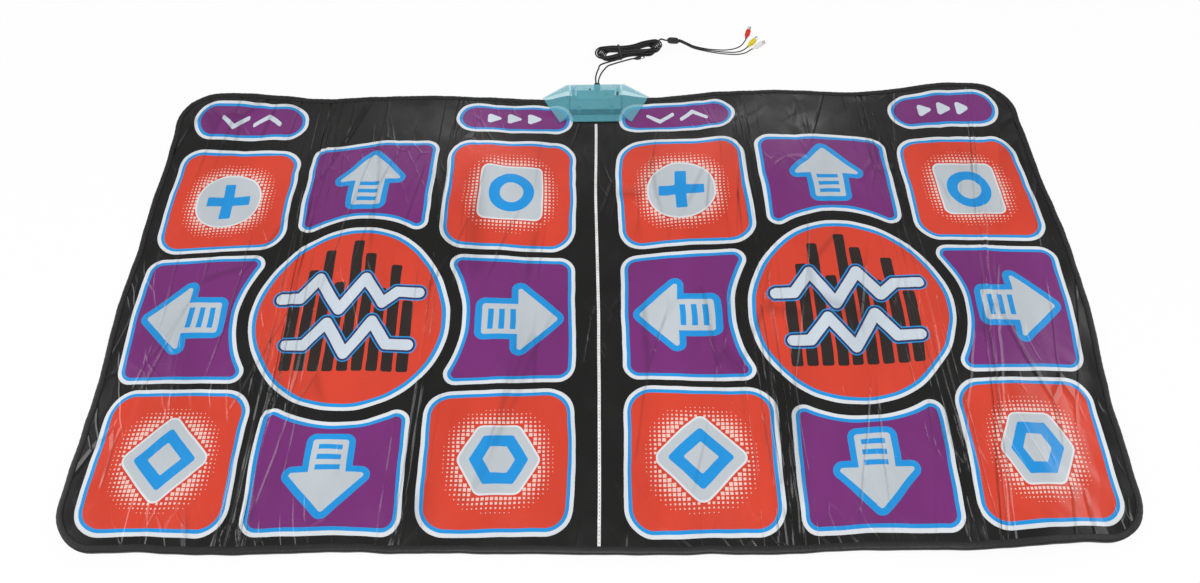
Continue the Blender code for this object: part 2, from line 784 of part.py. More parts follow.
def inset_outline(outline, by):
    """A convex outline, counted clockwise, with its sides moved inwards."""
    lines = []
    for (ax, ay), (bx, by_) in zip(outline, outline[1:] + outline[:1]):
        length = math.dist((ax, ay), (bx, by_))
        nx = (by_ - ay) / length
        ny = (ax - bx) / length
        lines.append((nx, ny, nx * ax + ny * ay + by))
    moved = []
    for (a, b, c), (d, e, f) in zip(lines[-1:] + lines[:-1], lines):
        cross = a * e - b * d
        moved.append(((c * e - b * f) / cross, (a * f - c * d) / cross))
    return moved


def wing_height(x, y):
    """Height of the wing's top: a slope from the box's rear corner to the tip and the point."""
    along = Vector(WING_POINT) - Vector(WING_TIP)
    full = along.cross(Vector(WING_REAR) - Vector(WING_TIP))
    share = along.cross(Vector((x, y)) - Vector(WING_TIP)) / full
    low = FLANGE_Z + FLANGE_THICKNESS
    return min(WING_TOP, low + (WING_TOP - low) * share)


def wing_block(name, side, wall, bottom):
    """Sloping wing as a solid, or the hollow in it where a wall is given."""
    root = WING_ROOT if wall == 0.0 else BOX_HALF_WIDTH + NOTCH_CLEARANCE - wall
    corners = [WING_REAR, WING_TIP, WING_POINT, WING_NOTCH, (root, BOX_FRONT), (root, 0.011)]
    outline = inset_outline(corners, wall)
    along = Vector(WING_TIP) - Vector(WING_POINT)
    crease_x = outline[-1][0]
    crease_y = WING_REAR[1] + (crease_x - WING_REAR[0]) * along.y / along.x
    outline.insert(-1, (crease_x, crease_y))
    shape = bmesh.new()
    lower = [shape.verts.new((side * x, y + REAR, bottom)) for x, y in outline]
    upper = [shape.verts.new((side * x, y + REAR, wing_height(x, y) - wall)) for x, y in outline]
    shape.faces.new(lower)
    for first in range(len(outline)):
        second = (first + 1) % len(outline)
        shape.faces.new((lower[first], lower[second], upper[second], upper[first]))
    shape.faces.new(upper[:-1])
    shape.faces.new((upper[-2], upper[-1], upper[0]))
    bmesh.ops.recalc_face_normals(shape, faces=shape.faces)
    data = bpy.data.meshes.new(name)
    shape.to_mesh(data)
    shape.free()
    return add_object(name, data, None)


def make_upper_shell():
    """See-through cover: a hollow body, sloping wings at its sides and a lip in front."""
    shell = body_block(
        "upper_shell", BOX_HALF_WIDTH, BOX_FRONT, BOX_REAR, BODY_Z, BOX_TOP, BOX_DRAFT
    )
    shell.data.materials.append(material("blue_clear"))
    bevelled(shell, BOX_EDGE_RADIUS, 3)
    lip = sheet("lip", [lip_outline()], FLANGE_Z, FLANGE_THICKNESS, None)
    cut(shell, lip, "UNION")
    for side in (-1, 1):
        cut(shell, wing_block(f"wing_{side}", side, 0.0, FLANGE_Z), "UNION")
        cut(shell, wing_block(f"wing_hollow_{side}", side, WING_WALL, FLANGE_Z - 0.002))
    hollow = body_block(
        "shell_hollow",
        BOX_HALF_WIDTH - BOX_WALL,
        BOX_FRONT + BOX_WALL,
        BOX_REAR - BOX_WALL,
        BODY_Z - 0.01,
        BOX_TOP - BOX_WALL,
        BOX_DRAFT,
    )
    cut(shell, hollow)
    for index, (x, y) in enumerate(boss_places()):
        boss = cylinder(
            f"shell_boss_{index}", BOSS_RADIUS, BODY_Z, BOX_TOP - BOX_WALL / 2, x, y, steps=12
        )
        cut(shell, boss, "UNION")
        pilot_radius = SCREW_RADIUS + SCREW_CLEARANCE
        pilot_top = SCREW_TIP + SCREW_CLEARANCE
        pilot = cylinder(f"shell_pilot_{index}", pilot_radius, 0.0, pilot_top, x, y, steps=10)
        cut(shell, pilot)
    opening_x = SWITCH_KNOB[0] + 2 * SWITCH_CLEARANCE
    opening_y = SWITCH_KNOB[1] + SWITCH_TRAVEL + 2 * SWITCH_CLEARANCE
    slot = block("switch_slot", (opening_x, opening_y, 3 * BOX_WALL), (0, 0, 0))
    slot.location = (SWITCH_X, REAR + SWITCH_Y, BOX_TOP)
    cut(shell, slot)
    lamp_hole = cylinder(
        "led_hole", LED_RADIUS + LED_CLEARANCE, BOX_TOP - 0.006, BOX_TOP + 0.006, LED_X, REAR + LED_Y
    )
    cut(shell, lamp_hole)
    gland_hole = gland_prism("gland_hole", GLAND_CLEARANCE, -0.004, 0.004)
    cut(shell, gland_hole)
    return shell


def boss_places():
    front = [(side * BOSS_FRONT_X, REAR + BOSS_FRONT_Y) for side in (-1, 1)]
    rear = [(side * BOSS_REAR_X, REAR + BOSS_REAR_Y) for side in (-1, 1)]
    return front + rear


def gland_prism(name, grow, start, end):
    """An oval bar through the rear wall, along Y."""
    reach = GLAND_HALF_LENGTH - GLAND_RADIUS
    radius = GLAND_RADIUS + grow
    outline = arc(reach, 0, radius, -90, 90, 6) + arc(-reach, 0, radius, 90, 270, 6)
    made = sheet(name, [outline], 0.0, end - start, None)
    made.rotation_euler = (math.radians(90), 0.0, 0.0)
    made.location = (GLAND_X, REAR + BOX_REAR + (start + end) / 2, GLAND_HEIGHT)
    return made


def make_gland():
    """Rubber gland: an oval neck through the wall with a collar on each side of it."""
    gland = gland_prism("cord_gland", 0.0, -BOX_WALL - BOX_DRAFT - 0.003, GLAND_REACH)
    gland.data.materials.append(material("black_plastic"))
    outer = gland_prism("collar_outer", GLAND_COLLAR, LAYER_GAP, LAYER_GAP + 0.0022)
    cut(gland, outer, "UNION")
    inner_end = -BOX_WALL - BOX_DRAFT - LAYER_GAP
    inner = gland_prism("collar_inner", GLAND_COLLAR, inner_end - 0.0018, inner_end)
    cut(gland, inner, "UNION")
    return gland


def make_lower_shell():
    """Tray: a neck under the mat, a wide end with a low wall behind it, bosses and posts."""
    neck_depth = BOX_REAR - BOX_FRONT
    wall_depth = BOX_REAR - TRAY_WALL_FRONT
    wall_top = BODY_Z - LAYER_GAP
    neck = (2 * TRAY_NECK_HALF_WIDTH, neck_depth, TRAY_FLOOR)
    tray = block("lower_shell", neck, (0, 0, 0), "blue_clear")
    tray.location = (0.0, REAR + BOX_FRONT + neck_depth / 2, TRAY_FLOOR / 2)
    wide_end = block("wide_end", (2 * BOX_HALF_WIDTH, wall_depth, TRAY_FLOOR), (0, 0, 0))
    wide_end.location = (0.0, REAR + TRAY_WALL_FRONT + wall_depth / 2, TRAY_FLOOR / 2)
    cut(tray, wide_end, "UNION")
    walls = (
        ("wall_rear", 0.0, 2 * BOX_HALF_WIDTH, BOX_REAR - TRAY_WALL / 2, TRAY_WALL),
        ("wall_left", -1, TRAY_WALL, TRAY_WALL_FRONT + wall_depth / 2, wall_depth),
        ("wall_right", 1, TRAY_WALL, TRAY_WALL_FRONT + wall_depth / 2, wall_depth),
    )
    for name, side, width, y, length in walls:
        x = side * (BOX_HALF_WIDTH - TRAY_WALL / 2)
        wall = block(name, (width, length, wall_top - TRAY_FLOOR / 2), (0, 0, 0))
        wall.location = (x, REAR + y, (wall_top + TRAY_FLOOR / 2) / 2)
        cut(tray, wall, "UNION")
    for index, (x, y) in enumerate(boss_places()):
        top = wall_top if y > REAR else COVER_Z - LAYER_GAP
        boss = cylinder(f"tray_boss_{index}", BOSS_RADIUS, TRAY_FLOOR / 2, top, x, y, steps=12)
        cut(tray, boss, "UNION")
    for side in (-1, 1):
        post = cylinder(
            f"board_post_{side}",
            BOARD_POST_RADIUS,
            TRAY_FLOOR / 2,
            BOARD_UNDERSIDE - LAYER_GAP,
            side * BOARD_POST_X,
            REAR + BOARD_POST_Y,
            steps=10,
        )
        cut(tray, post, "UNION")
    for index, (x, y) in enumerate(boss_places()):
        head_top = SCREW_HEAD_RECESS + SCREW_HEAD_HEIGHT + SCREW_CLEARANCE
        seat = cylinder(
            f"head_seat_{index}", SCREW_HEAD_RADIUS + SCREW_CLEARANCE, -0.002, head_top, x, y, steps=12
        )
        cut(tray, seat)
        bore_radius = SCREW_RADIUS + SCREW_CLEARANCE
        bore = cylinder(f"screw_bore_{index}", bore_radius, -0.002, 0.02, x, y, steps=10)
        cut(tray, bore)
    return tray


def make_screws():
    for index, (x, y) in enumerate(boss_places()):
        bottom = SCREW_HEAD_RECESS
        shoulder = bottom + SCREW_HEAD_HEIGHT
        profile = [
            (SCREW_TIP, 0.0),
            (SCREW_TIP - 0.0015, SCREW_RADIUS),
            (shoulder, SCREW_RADIUS),
            (shoulder, SCREW_HEAD_RADIUS),
            (bottom, SCREW_HEAD_RADIUS),
            (bottom, 0.0),
        ]
        up = Vector((0.0, 0.0, 1.0))
        turned(f"box_screw_{index + 1}", profile, (x, y, 0.0), up, "steel", steps=10)


def make_electronics():
    """Board on the tray's posts, with its chip on top and the tail's clamp underneath."""
    board_y = REAR + BOARD_CENTRE_Y
    board = block("circuit_board", (*BOARD_SIZE, BOARD_THICKNESS), (0, 0, 0), "board")
    board.location = (0.0, board_y, BOARD_UNDERSIDE + BOARD_THICKNESS / 2)
    top = BOARD_UNDERSIDE + BOARD_THICKNESS + LAYER_GAP
    profile = [
        (CHIP_HEIGHT, 0.0),
        (CHIP_HEIGHT * 0.85, CHIP_RADIUS * 0.55),
        (CHIP_HEIGHT * 0.4, CHIP_RADIUS * 0.9),
        (0.0, CHIP_RADIUS),
        (0.0, 0.0),
    ]
    up = Vector((0.0, 0.0, 1.0))
    turned("chip_blob", profile, (CHIP_X, board_y, top), up, "black_plastic", steps=12)
    clamp_top = BOARD_UNDERSIDE - LAYER_GAP
    clamp = block("tail_clamp", (*CLAMP_SIZE, CLAMP_HEIGHT), (0, 0, 0), "black_plastic")
    clamp.location = (0.0, REAR + CLAMP_Y, clamp_top - CLAMP_HEIGHT / 2)
    make_flex_tail(clamp_top - CLAMP_HEIGHT - LAYER_GAP)


def make_flex_tail(top):
    """Film strip from the mat's sandwich, under the cover and up to the clamp."""
    level = SPACER_Z
    start = NOTCH_FRONT + LAYER_GAP
    rise = REAR + CLAMP_Y
    bend = 0.0016
    shape = bmesh.new()
    profile = [(start, level), (rise - bend, level), (rise - bend * 0.3, level + bend * 0.3)]
    profile += [(rise, level + bend), (rise, top)]
    for side in (-1, 1):
        for y, z in profile:
            shape.verts.new((side * TAIL_WIDTH / 2, y, z))
    shape.verts.ensure_lookup_table()
    count = len(profile)
    for index in range(count - 1):
        corners = (index, index + 1, index + 1 + count, index + count)
        shape.faces.new([shape.verts[corner] for corner in corners])
    mesh = bpy.data.meshes.new("flex_tail")
    shape.to_mesh(mesh)
    shape.free()
    tail = add_object("flex_tail", mesh, "grey_film")
    wall = tail.modifiers.new("thickness", "SOLIDIFY")
    wall.thickness = TAIL_THICKNESS
    wall.offset = 0.0
    return tail


def make_switch_and_lamp():
    """Slide switch and indicator lamp, both seated in the top of the upper shell."""
    knob_top = BOX_TOP + SWITCH_STAND
    knob = block("power_switch", (*SWITCH_KNOB, SWITCH_HEIGHT), (0, 0, 0), "black_plastic")
    rest_y = REAR + SWITCH_Y - SWITCH_TRAVEL / 2
    knob.location = (SWITCH_X, rest_y, knob_top - SWITCH_HEIGHT / 2)
    bevelled(knob, 0.0005, 1)
    bottom = BOX_TOP - 0.0050
    profile = [
        (0.0060, 0.0),
        (0.0055, LED_RADIUS * 0.7),
        (0.0045, LED_RADIUS),
        (0.0, LED_RADIUS),
        (0.0, 0.0),
    ]
    up = Vector((0.0, 0.0, 1.0))
    turned("power_led", profile, (LED_X, REAR + LED_Y, bottom), up, "black_plastic", steps=12)


# Leads


def hank_straight(layer):
    """Half of the straight length of a layer's turns: the lower ones are folded shorter."""
    full = HANK_HALF_LENGTH - HANK_END_RADIUS - AV_LEAD / 2
    return full - HANK_SHORTER[min(layer, HANK_LAYERS - 1)]


def hank_waist(along):
    """How far the tie draws a run in towards the middle, at a distance along the hank."""
    return HANK_WAIST * math.exp(-((along / HANK_WAIST_REACH) ** 2))


def hank_local(station, end_radius, start, end):
    """Point of a turn in the hank's own plan, at one of its stations."""
    half = HANK_RUN_POINTS + HANK_ARC_POINTS
    side = 1 if station < half else -1
    place = station % half
    if place < HANK_RUN_POINTS:
        u = (start + end) * place / HANK_RUN_POINTS - start
        v = hank_waist(u) - end_radius
    else:
        angle = math.pi * (place - HANK_RUN_POINTS) / HANK_ARC_POINTS
        u = end + end_radius * math.sin(angle)
        v = -end_radius * math.cos(angle)
    return side * u, side * v


def hank_route():
    """Centre line of the hank, from its first front run to a run on its top layer.

    Each layer takes two turns, spiralling in on the first and third and out on the others, and the
    lead climbs to the next layer along a front run.
    """
    stations = 2 * (HANK_RUN_POINTS + HANK_ARC_POINTS)
    per_layer = HANK_TURNS_IN_LAYER * stations
    first = 1
    last = HANK_LAYERS * per_layer + HANK_RUN_POINTS // 2 + 1
    inner = HANK_END_RADIUS - HANK_TURNS_IN_LAYER * HANK_STEP
    route = []
    for index in range(first, last + 1):
        layer, step = divmod(index, per_layer)
        end = hank_straight(layer)
        start = hank_straight(layer - 1) if layer and step < HANK_RUN_POINTS else end
        climb = min(1.0, step / HANK_RUN_POINTS) if layer else 1.0
        spiral_start = HANK_RUN_POINTS if layer else 0
        share = max(0.0, (step - spiral_start) / (per_layer - spiral_start))
        if layer % 2 == 0:
            radius = HANK_END_RADIUS + (inner - HANK_END_RADIUS) * share
        else:
            radius = inner + (HANK_END_RADIUS - inner) * share
        if layer == HANK_LAYERS:
            layer, climb = HANK_LAYERS - 1, 1.0
            radius = HANK_END_RADIUS + HANK_LEAVE * max(0, step - HANK_RUN_POINTS // 2)
        level = max(0.0, layer - 1 + climb)
        u, v = hank_local(index % stations, radius, start, end)
        height = HANK_LIFT + AV_LEAD / 2 + HANK_LAYER_STEP * level
        route.append(hank_place(u, v, height))
    return route


def hank_place(u, v, height):
    """World point of a place in the hank's own plan."""
    x = HANK_CENTRE[0] + u * math.cos(HANK_ANGLE) - v * math.sin(HANK_ANGLE)
    y = HANK_CENTRE[1] + u * math.sin(HANK_ANGLE) + v * math.cos(HANK_ANGLE)
    return Vector((x, y + REAR, height))


def segment_distance(a, b, c, d):
    """Least distance between segments ab and cd, from a few rounds of closest points."""
    def nearest(point, start, end):
        run = end - start
        share = max(0.0, min(1.0, (point - start).dot(run) / run.length_squared))
        return start + run * share
    on_first = (a + b) / 2
    on_second = nearest(on_first, c, d)
    for _ in range(6):
        on_first = nearest(on_second, a, b)
        on_second = nearest(on_first, c, d)
    return (on_first - on_second).length


def least_gap(route, diameter, skip):
    """Least gap between stretches of a lead that aren't next to each other."""
    least = 1.0
    for first in range(len(route) - 1):
        for second in range(first + skip, len(route) - 1):
            if (route[first] - route[second]).length < 0.03 + 4 * diameter:
                pair = (route[first], route[first + 1], route[second], route[second + 1])
                least = min(least, segment_distance(*pair))
    return least - diameter


def route_length(route):
    return sum((second - first).length for first, second in zip(route, route[1:]))


def make_hank():
    route = hank_route()
    tube("av_lead_hank", route, AV_LEAD, "lead_black", resolution=1)
    gap = least_gap(route, AV_LEAD, HANK_ARC_POINTS)
    print(f"hank: {len(route)} points, {route_length(route):.3f} m, least gap {gap * 1000:.2f} mm")
    return route


def make_tie():
    """Band round the hank, square to its runs."""
    waists = []
    for layer in range(HANK_LAYERS):
        step = 2 * hank_straight(layer) / HANK_RUN_POINTS
        before = math.floor((TIE_AT + hank_straight(layer)) / step) * step - hank_straight(layer)
        share = (TIE_AT - before) / step
        waists.append(hank_waist(before) * (1 - share) + hank_waist(before + step) * share)
    half_width = HANK_END_RADIUS - min(waists) + AV_LEAD / 2 + TIE_CLEARANCE
    stack = AV_LEAD + (HANK_LAYERS - 1) * HANK_LAYER_STEP
    half_height = stack / 2 + TIE_CLEARANCE
    radius = AV_LEAD / 2 + TIE_CLEARANCE
    inner = rounded_rectangle(half_width, half_height, radius, steps=3)
    wide = half_width + TIE_THICKNESS
    high = half_height + TIE_THICKNESS
    outer = rounded_rectangle(wide, high, radius + TIE_THICKNESS, steps=3)
    band = sheet("hank_tie", [outer, inner], 0.0, TIE_WIDTH, "black_plastic")
    centre = hank_place(TIE_AT, 0.0, HANK_LIFT + stack / 2)
    turn = Matrix.Rotation(HANK_ANGLE, 4, "Z") @ Matrix.Rotation(math.radians(90), 4, "Z")
    stand = Matrix.Rotation(math.radians(90), 4, "X")
    band.matrix_world = Matrix.Translation(centre) @ turn @ stand
    return band


def make_av_root(hank):
    """From the gland down to the floor and into the hank."""
    out = Vector((0.0, 1.0, 0.0))
    start = Vector((AV_EXIT_X, REAR + BOX_REAR + GLAND_REACH + LEAD_GAP, GLAND_HEIGHT))
    into = (hank[1] - hank[0]).normalized()
    end = hank[0] - into * LEAD_GAP
    points = [start, start + out * AV_LEAD, start + out * 2 * AV_LEAD]
    points += [from_rear(point) for point in AV_ROOT_ROUTE]
    points += [end - into * 1.6 * AV_LEAD, end]
    route = smooth_route(points, 2.2 * AV_LEAD)
    route = [start, start + out * AV_LEAD] + route[1:-1] + [end - into * AV_LEAD, end]
    tube("av_lead_root", tidy_route(route, AV_LEAD), AV_LEAD, "lead_black")
    print(f"av_lead_root: {route_length(route):.3f} m")


def tidy_route(route, diameter):
    """Drop points that crowd a straight end."""
    kept = [route[0], route[1]]
    for point in route[2:-2]:
        near_end = (point - route[-2]).length < 0.8 * diameter
        if (point - kept[-1]).length > 0.8 * diameter and not near_end:
            kept.append(point)
    return kept + [route[-2], route[-1]]


def make_av_end(hank):
    """Last stretch of the lead: over the top of the hank and down to the splitter."""
    out = (hank[-1] - hank[-2]).normalized()
    start = hank[-1] + out * LEAD_GAP
    axis = heading(SPLITTER_ANGLE, SPLITTER_SLOPE)
    centre = from_rear(SPLITTER_CENTRE)
    end = centre - axis * (SPLITTER_SIZE[0] / 2 + LEAD_GAP)
    top = HANK_LIFT + AV_LEAD / 2 + HANK_LAYER_STEP * HANK_LAYERS
    points = [start, start + out * AV_LEAD]
    points += [hank_place(u, v, top + rise) for u, v, rise in OVER_HANK]
    points += [end - axis * 1.5 * AV_LEAD, end]
    route = smooth_route(points, 2.0 * AV_LEAD)
    route = [start, start + out * AV_LEAD] + route[1:-1] + [end - axis * AV_LEAD, end]
    route = tidy_route(route, AV_LEAD)
    tube("av_lead_end", route, AV_LEAD, "lead_black")
    clear = 1.0
    for first, second in zip(route[2:], route[3:]):
        for third, fourth in zip(hank, hank[1:]):
            clear = min(clear, segment_distance(first, second, third, fourth))
    print(f"av_lead_end: {route_length(route):.3f} m, {(clear - AV_LEAD) * 1000:.2f} mm over the hank")


def make_splitter():
    """Moulding where the lead parts into three."""
    made = block("av_splitter", SPLITTER_SIZE, (0, 0, 0), "lead_black")
    bevelled(made, 0.0024, 2)
    axis = heading(SPLITTER_ANGLE, SPLITTER_SLOPE)
    made.location = from_rear(SPLITTER_CENTRE)
    made.rotation_euler = axis.to_track_quat("X", "Z").to_euler()


def make_tails_and_plugs():
    axis = heading(SPLITTER_ANGLE, SPLITTER_SLOPE)
    across = Vector((-math.sin(SPLITTER_ANGLE), math.cos(SPLITTER_ANGLE), 0.0))
    centre = from_rear(SPLITTER_CENTRE)
    for index, (colour, (place, angle)) in enumerate(PLUGS.items()):
        side = (1 - index) * TAIL_SPACING
        start = centre + axis * (SPLITTER_SIZE[0] / 2 + LEAD_GAP) + across * side
        way = heading(angle)
        rear = from_rear((*place, PLUG_GRIP_RADIUS + 0.0001))
        end = rear - way * LEAD_GAP
        points = [start, start + axis * PLUG_LEAD, start + axis * 2 * PLUG_LEAD]
        points += [from_rear(point) for point in TAIL_ROUTES[colour]]
        points += [end - way * 2 * PLUG_LEAD, end]
        route = smooth_route(points, 3.0 * PLUG_LEAD)
        route = [start, start + axis * PLUG_LEAD] + route[1:-1] + [end - way * PLUG_LEAD, end]
        route = tidy_route(route, PLUG_LEAD)
        tube(f"tail_{colour}", route, PLUG_LEAD, "lead_black")
        print(f"tail_{colour}: {route_length(route):.3f} m")
        make_phono_plug(colour, rear, way)


def make_phono_plug(colour, rear, way):
    """Moulded grip with a waisted strain relief, and the metal skirt and pin beyond it."""
    grip = [
        (PLUG_GRIP_LENGTH, 0.0),
        (PLUG_GRIP_LENGTH, PLUG_GRIP_RADIUS * 0.92),
        (PLUG_GRIP_LENGTH - 0.0012, PLUG_GRIP_RADIUS),
        (PLUG_GRIP_LENGTH * 0.42, PLUG_GRIP_RADIUS),
        (PLUG_GRIP_LENGTH * 0.36, PLUG_GRIP_RADIUS * 0.72),
        (0.0, PLUG_LEAD * 0.78),
        (0.0, 0.0),
    ]
    turned(f"plug_{colour}_grip", grip, rear, way, f"plug_{colour}", steps=14)
    skirt = PLUG_CONTACT_LENGTH
    recess = PLUG_CONTACT_LENGTH * 0.25
    inner = PLUG_CONTACT_RADIUS * 0.82
    tip = skirt * 0.35 + PLUG_PIN_LENGTH
    contact = [
        (tip, 0.0),
        (tip - 0.0010, PLUG_PIN_RADIUS),
        (recess, PLUG_PIN_RADIUS),
        (recess, inner),
        (skirt, inner),
        (skirt, PLUG_CONTACT_RADIUS),
        (0.0, PLUG_CONTACT_RADIUS),
        (0.0, 0.0),
    ]
    seat = rear + way * (PLUG_GRIP_LENGTH + LEAD_GAP)
    turned(f"plug_{colour}_contact", contact, seat, way, "steel", steps=12)


def make_power_lead():
    """Thin lead beside the hank, with its low-voltage plug."""
    out = Vector((0.0, 1.0, 0.0))
    start = Vector((POWER_EXIT_X, REAR + BOX_REAR + GLAND_REACH + LEAD_GAP, GLAND_HEIGHT))
    way = heading(POWER_PLUG_ANGLE)
    rear = from_rear((*POWER_PLUG_AT, POWER_GRIP_RADIUS + 0.0001))
    end = rear - way * LEAD_GAP
    points = [start, start + out * POWER_LEAD, start + out * 2 * POWER_LEAD]
    points += [from_rear(point) for point in POWER_ROUTE]
    points += [end - way * 1.8 * POWER_LEAD, end]
    route = smooth_route(points, 2.6 * POWER_LEAD)
    route = [start, start + out * POWER_LEAD] + route[1:-1] + [end - way * POWER_LEAD, end]
    route = tidy_route(route, POWER_LEAD)
    tube("power_lead", route, POWER_LEAD, "lead_black")
    print(f"power_lead: {route_length(route):.3f} m")
    grip = [
        (POWER_GRIP_LENGTH, 0.0),
        (POWER_GRIP_LENGTH, POWER_GRIP_RADIUS * 0.9),
        (POWER_GRIP_LENGTH - 0.0010, POWER_GRIP_RADIUS),
        (POWER_GRIP_LENGTH * 0.35, POWER_GRIP_RADIUS),
        (0.0, POWER_LEAD * 0.62),
        (0.0, 0.0),
    ]
    turned("power_plug_grip", grip, rear, way, "black_plastic", steps=14)
    contact = [
        (POWER_CONTACT_LENGTH, 0.0),
        (POWER_CONTACT_LENGTH, POWER_CONTACT_RADIUS * 0.9),
        (POWER_CONTACT_LENGTH - 0.0008, POWER_CONTACT_RADIUS),
        (0.0, POWER_CONTACT_RADIUS),
        (0.0, 0.0),
    ]
    seat = rear + way * (POWER_GRIP_LENGTH + LEAD_GAP)
    turned("power_plug_contact", contact, seat, way, "steel", steps=12)


def main():
    make_mat(pad_plan())
    make_upper_shell()
    make_lower_shell()
    make_screws()
    make_electronics()
    make_switch_and_lamp()
    make_gland()
    hank = make_hank()
    make_tie()
    make_av_root(hank)
    make_av_end(hank)
    make_splitter()
    make_tails_and_plugs()
    make_power_lead()


main()
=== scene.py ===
"""Looks of the two-player dance mat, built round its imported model.

Metres, +Z up, with the mat's underside on z = 0, its middle at the origin and the box at +Y.
"""

import math

import bpy
import numpy as np
from mathutils import Matrix, Vector
from mathutils.geometry import delaunay_2d_cdt
from mathutils.kdtree import KDTree


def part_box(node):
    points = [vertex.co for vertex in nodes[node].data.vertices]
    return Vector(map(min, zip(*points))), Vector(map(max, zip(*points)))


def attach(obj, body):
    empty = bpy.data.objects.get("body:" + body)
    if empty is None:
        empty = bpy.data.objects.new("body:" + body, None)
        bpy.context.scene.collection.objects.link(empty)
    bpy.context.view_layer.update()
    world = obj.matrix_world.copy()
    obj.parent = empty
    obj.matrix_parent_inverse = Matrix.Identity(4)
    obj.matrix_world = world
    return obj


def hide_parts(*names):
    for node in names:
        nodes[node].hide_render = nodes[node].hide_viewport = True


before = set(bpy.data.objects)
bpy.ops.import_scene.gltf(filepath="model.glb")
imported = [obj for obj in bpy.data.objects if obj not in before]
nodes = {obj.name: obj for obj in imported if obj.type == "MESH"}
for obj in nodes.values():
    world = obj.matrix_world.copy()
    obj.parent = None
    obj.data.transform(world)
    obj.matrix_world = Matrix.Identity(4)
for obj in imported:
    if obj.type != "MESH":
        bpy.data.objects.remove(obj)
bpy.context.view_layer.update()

# Mat, as the model has it
MAT_WIDTH = 1.650
MAT_DEPTH = 0.900
MAT_CORNER_RADIUS = 0.075
REAR = MAT_DEPTH / 2
COVER_TOP = 0.0083
COVER_THICKNESS = 0.0006
COVER_INSET = 0.0009
PAD_THICKNESS = 0.0010
FOAM_TOP = 0.0043
FOAM_THICKNESS = 0.0033
FOAM_INSET = 0.0012
BACKING_TOP = 0.0006
BACKING_THICKNESS = 0.0005
BACKING_INSET = 0.0113
BINDING_WIDTH = 0.011
PLAYER_CENTRES = {"p1": -0.417, "p2": 0.417}
DISC_Y = -0.055
DISC_RADIUS = 0.173
CORNER_PAD = (0.119, 0.119, 0.046)
CORNER_PAD_AT = (0.259, 0.254)
ARROWS = {"up": (0, 0.121, 0.373), "left": (1, 0.1245, 0.378), "down": (2, 0.121, 0.373),
          "right": (3, 0.1245, 0.378)}
ARROW_HOLLOW = 0.193
ARROW_AT = (0.2830, 0.2865)
ARROW_SHARES = (0.94, 1.0)
BUTTON = (0.114, 0.044)
BUTTON_AT = (0.2585, 0.440)
PAD_CLEARANCE = 0.0004
WHITE_LINE = 0.0068
BLUE_LINE = 0.0126
BOX_HALF_WIDTH = 0.052
NOTCH_HALF_WIDTH = 0.037
NOTCH_FRONT = REAR - 0.055
BOSS_HOLE = (0.032, REAR - 0.0465, 0.0019)


# Camera and cords

CAMERA_AT = (0.0160, -0.7580, 1.3133)
CAMERA_ANGLES = (30.041, 0.682, -0.389)
CAMERA_LENS = 26.05


def linked(name, data):
    """A new object in the scene."""
    made = bpy.data.objects.new(name, data)
    bpy.context.scene.collection.objects.link(made)
    return made


def settle(piece, slot, *replaced, body="mat"):
    """Let a piece ride on a body and hide the model's nodes that it stands for; its slot is not
    used.
    """
    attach(piece, body)
    if replaced:
        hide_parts(*replaced)
    return piece


def place_camera():
    """Camera at the photograph's angle, fitted to the pads' outlines in it."""
    eye = linked("camera", bpy.data.cameras.new("camera"))
    eye.location = CAMERA_AT
    eye.rotation_euler = [math.radians(angle) for angle in CAMERA_ANGLES]
    eye.data.sensor_width = 36.0
    eye.data.lens = CAMERA_LENS
    bpy.context.scene.camera = eye


def smooth_route(points, spacing):
    """Evenly spaced points on one smooth curve through the given points."""
    knots = [Vector(point) for point in points]
    ends = [2 * knots[0] - knots[1]] + knots + [2 * knots[-1] - knots[-2]]
    fine = []
    for index in range(1, len(ends) - 2):
        before, first, second, after = ends[index - 1:index + 3]
        for step in range(24):
            t = step / 24
            bend = (2 * before - 5 * first + 4 * second - after) * t * t
            twist = (3 * first - before - 3 * second + after) * t ** 3
            fine.append(0.5 * (2 * first + (second - before) * t + bend + twist))
    fine.append(knots[-1])
    lengths = [0.0]
    for first, second in zip(fine, fine[1:]):
        lengths.append(lengths[-1] + (second - first).length)
    count = max(3, round(lengths[-1] / spacing))
    route = []
    index = 0
    for step in range(count + 1):
        target = lengths[-1] * step / count
        while index < len(lengths) - 2 and lengths[index + 1] < target:
            index += 1
        share = (target - lengths[index]) / (lengths[index + 1] - lengths[index])
        route.append(fine[index].lerp(fine[index + 1], min(1.0, share)))
    return route


def from_rear(x, y, z):
    return Vector((x, y + REAR, z))


def heading(angle, slope=0.0):
    level = math.cos(slope)
    return Vector((math.cos(angle) * level, math.sin(angle) * level, math.sin(slope)))


AV_LEAD = 0.0032
TAIL_LEAD = 0.0024
POWER_LEAD = 0.0030
HANK_CENTRE = (0.0695, 0.1205)
HANK_ANGLE = math.radians(10.5)
HANK_HALF_LENGTH = 0.0725
HANK_RADIUS = 0.0168
HANK_STRAIGHTS = [HANK_HALF_LENGTH - HANK_RADIUS - AV_LEAD / 2 - shorter
                  for shorter in (0.015, 0.010, 0.005, 0.0)]
HANK_STEP = 0.0037
HANK_WAIST = 0.0072
HANK_WAIST_REACH = 0.0250
HANK_LEAVE = 0.0012
HANK_LIFT = 0.0013
ARC_POINTS = 7
RUN_POINTS = 5
SPLITTER = Vector((0.1610, 0.1445 + REAR, 0.0118))
SPLITTER_SIZE = (0.023, 0.0125, 0.0078)
SPLITTER_ANGLE = math.radians(4.0)
SPLITTER_SLOPE = math.radians(-9.0)
PLUGS = {
    "red": ((0.3144, 0.1545), math.radians(72.0)),
    "yellow": ((0.3162, 0.1310), math.radians(50.0)),
    "white": ((0.3250, 0.1245), math.radians(35.0)),
}
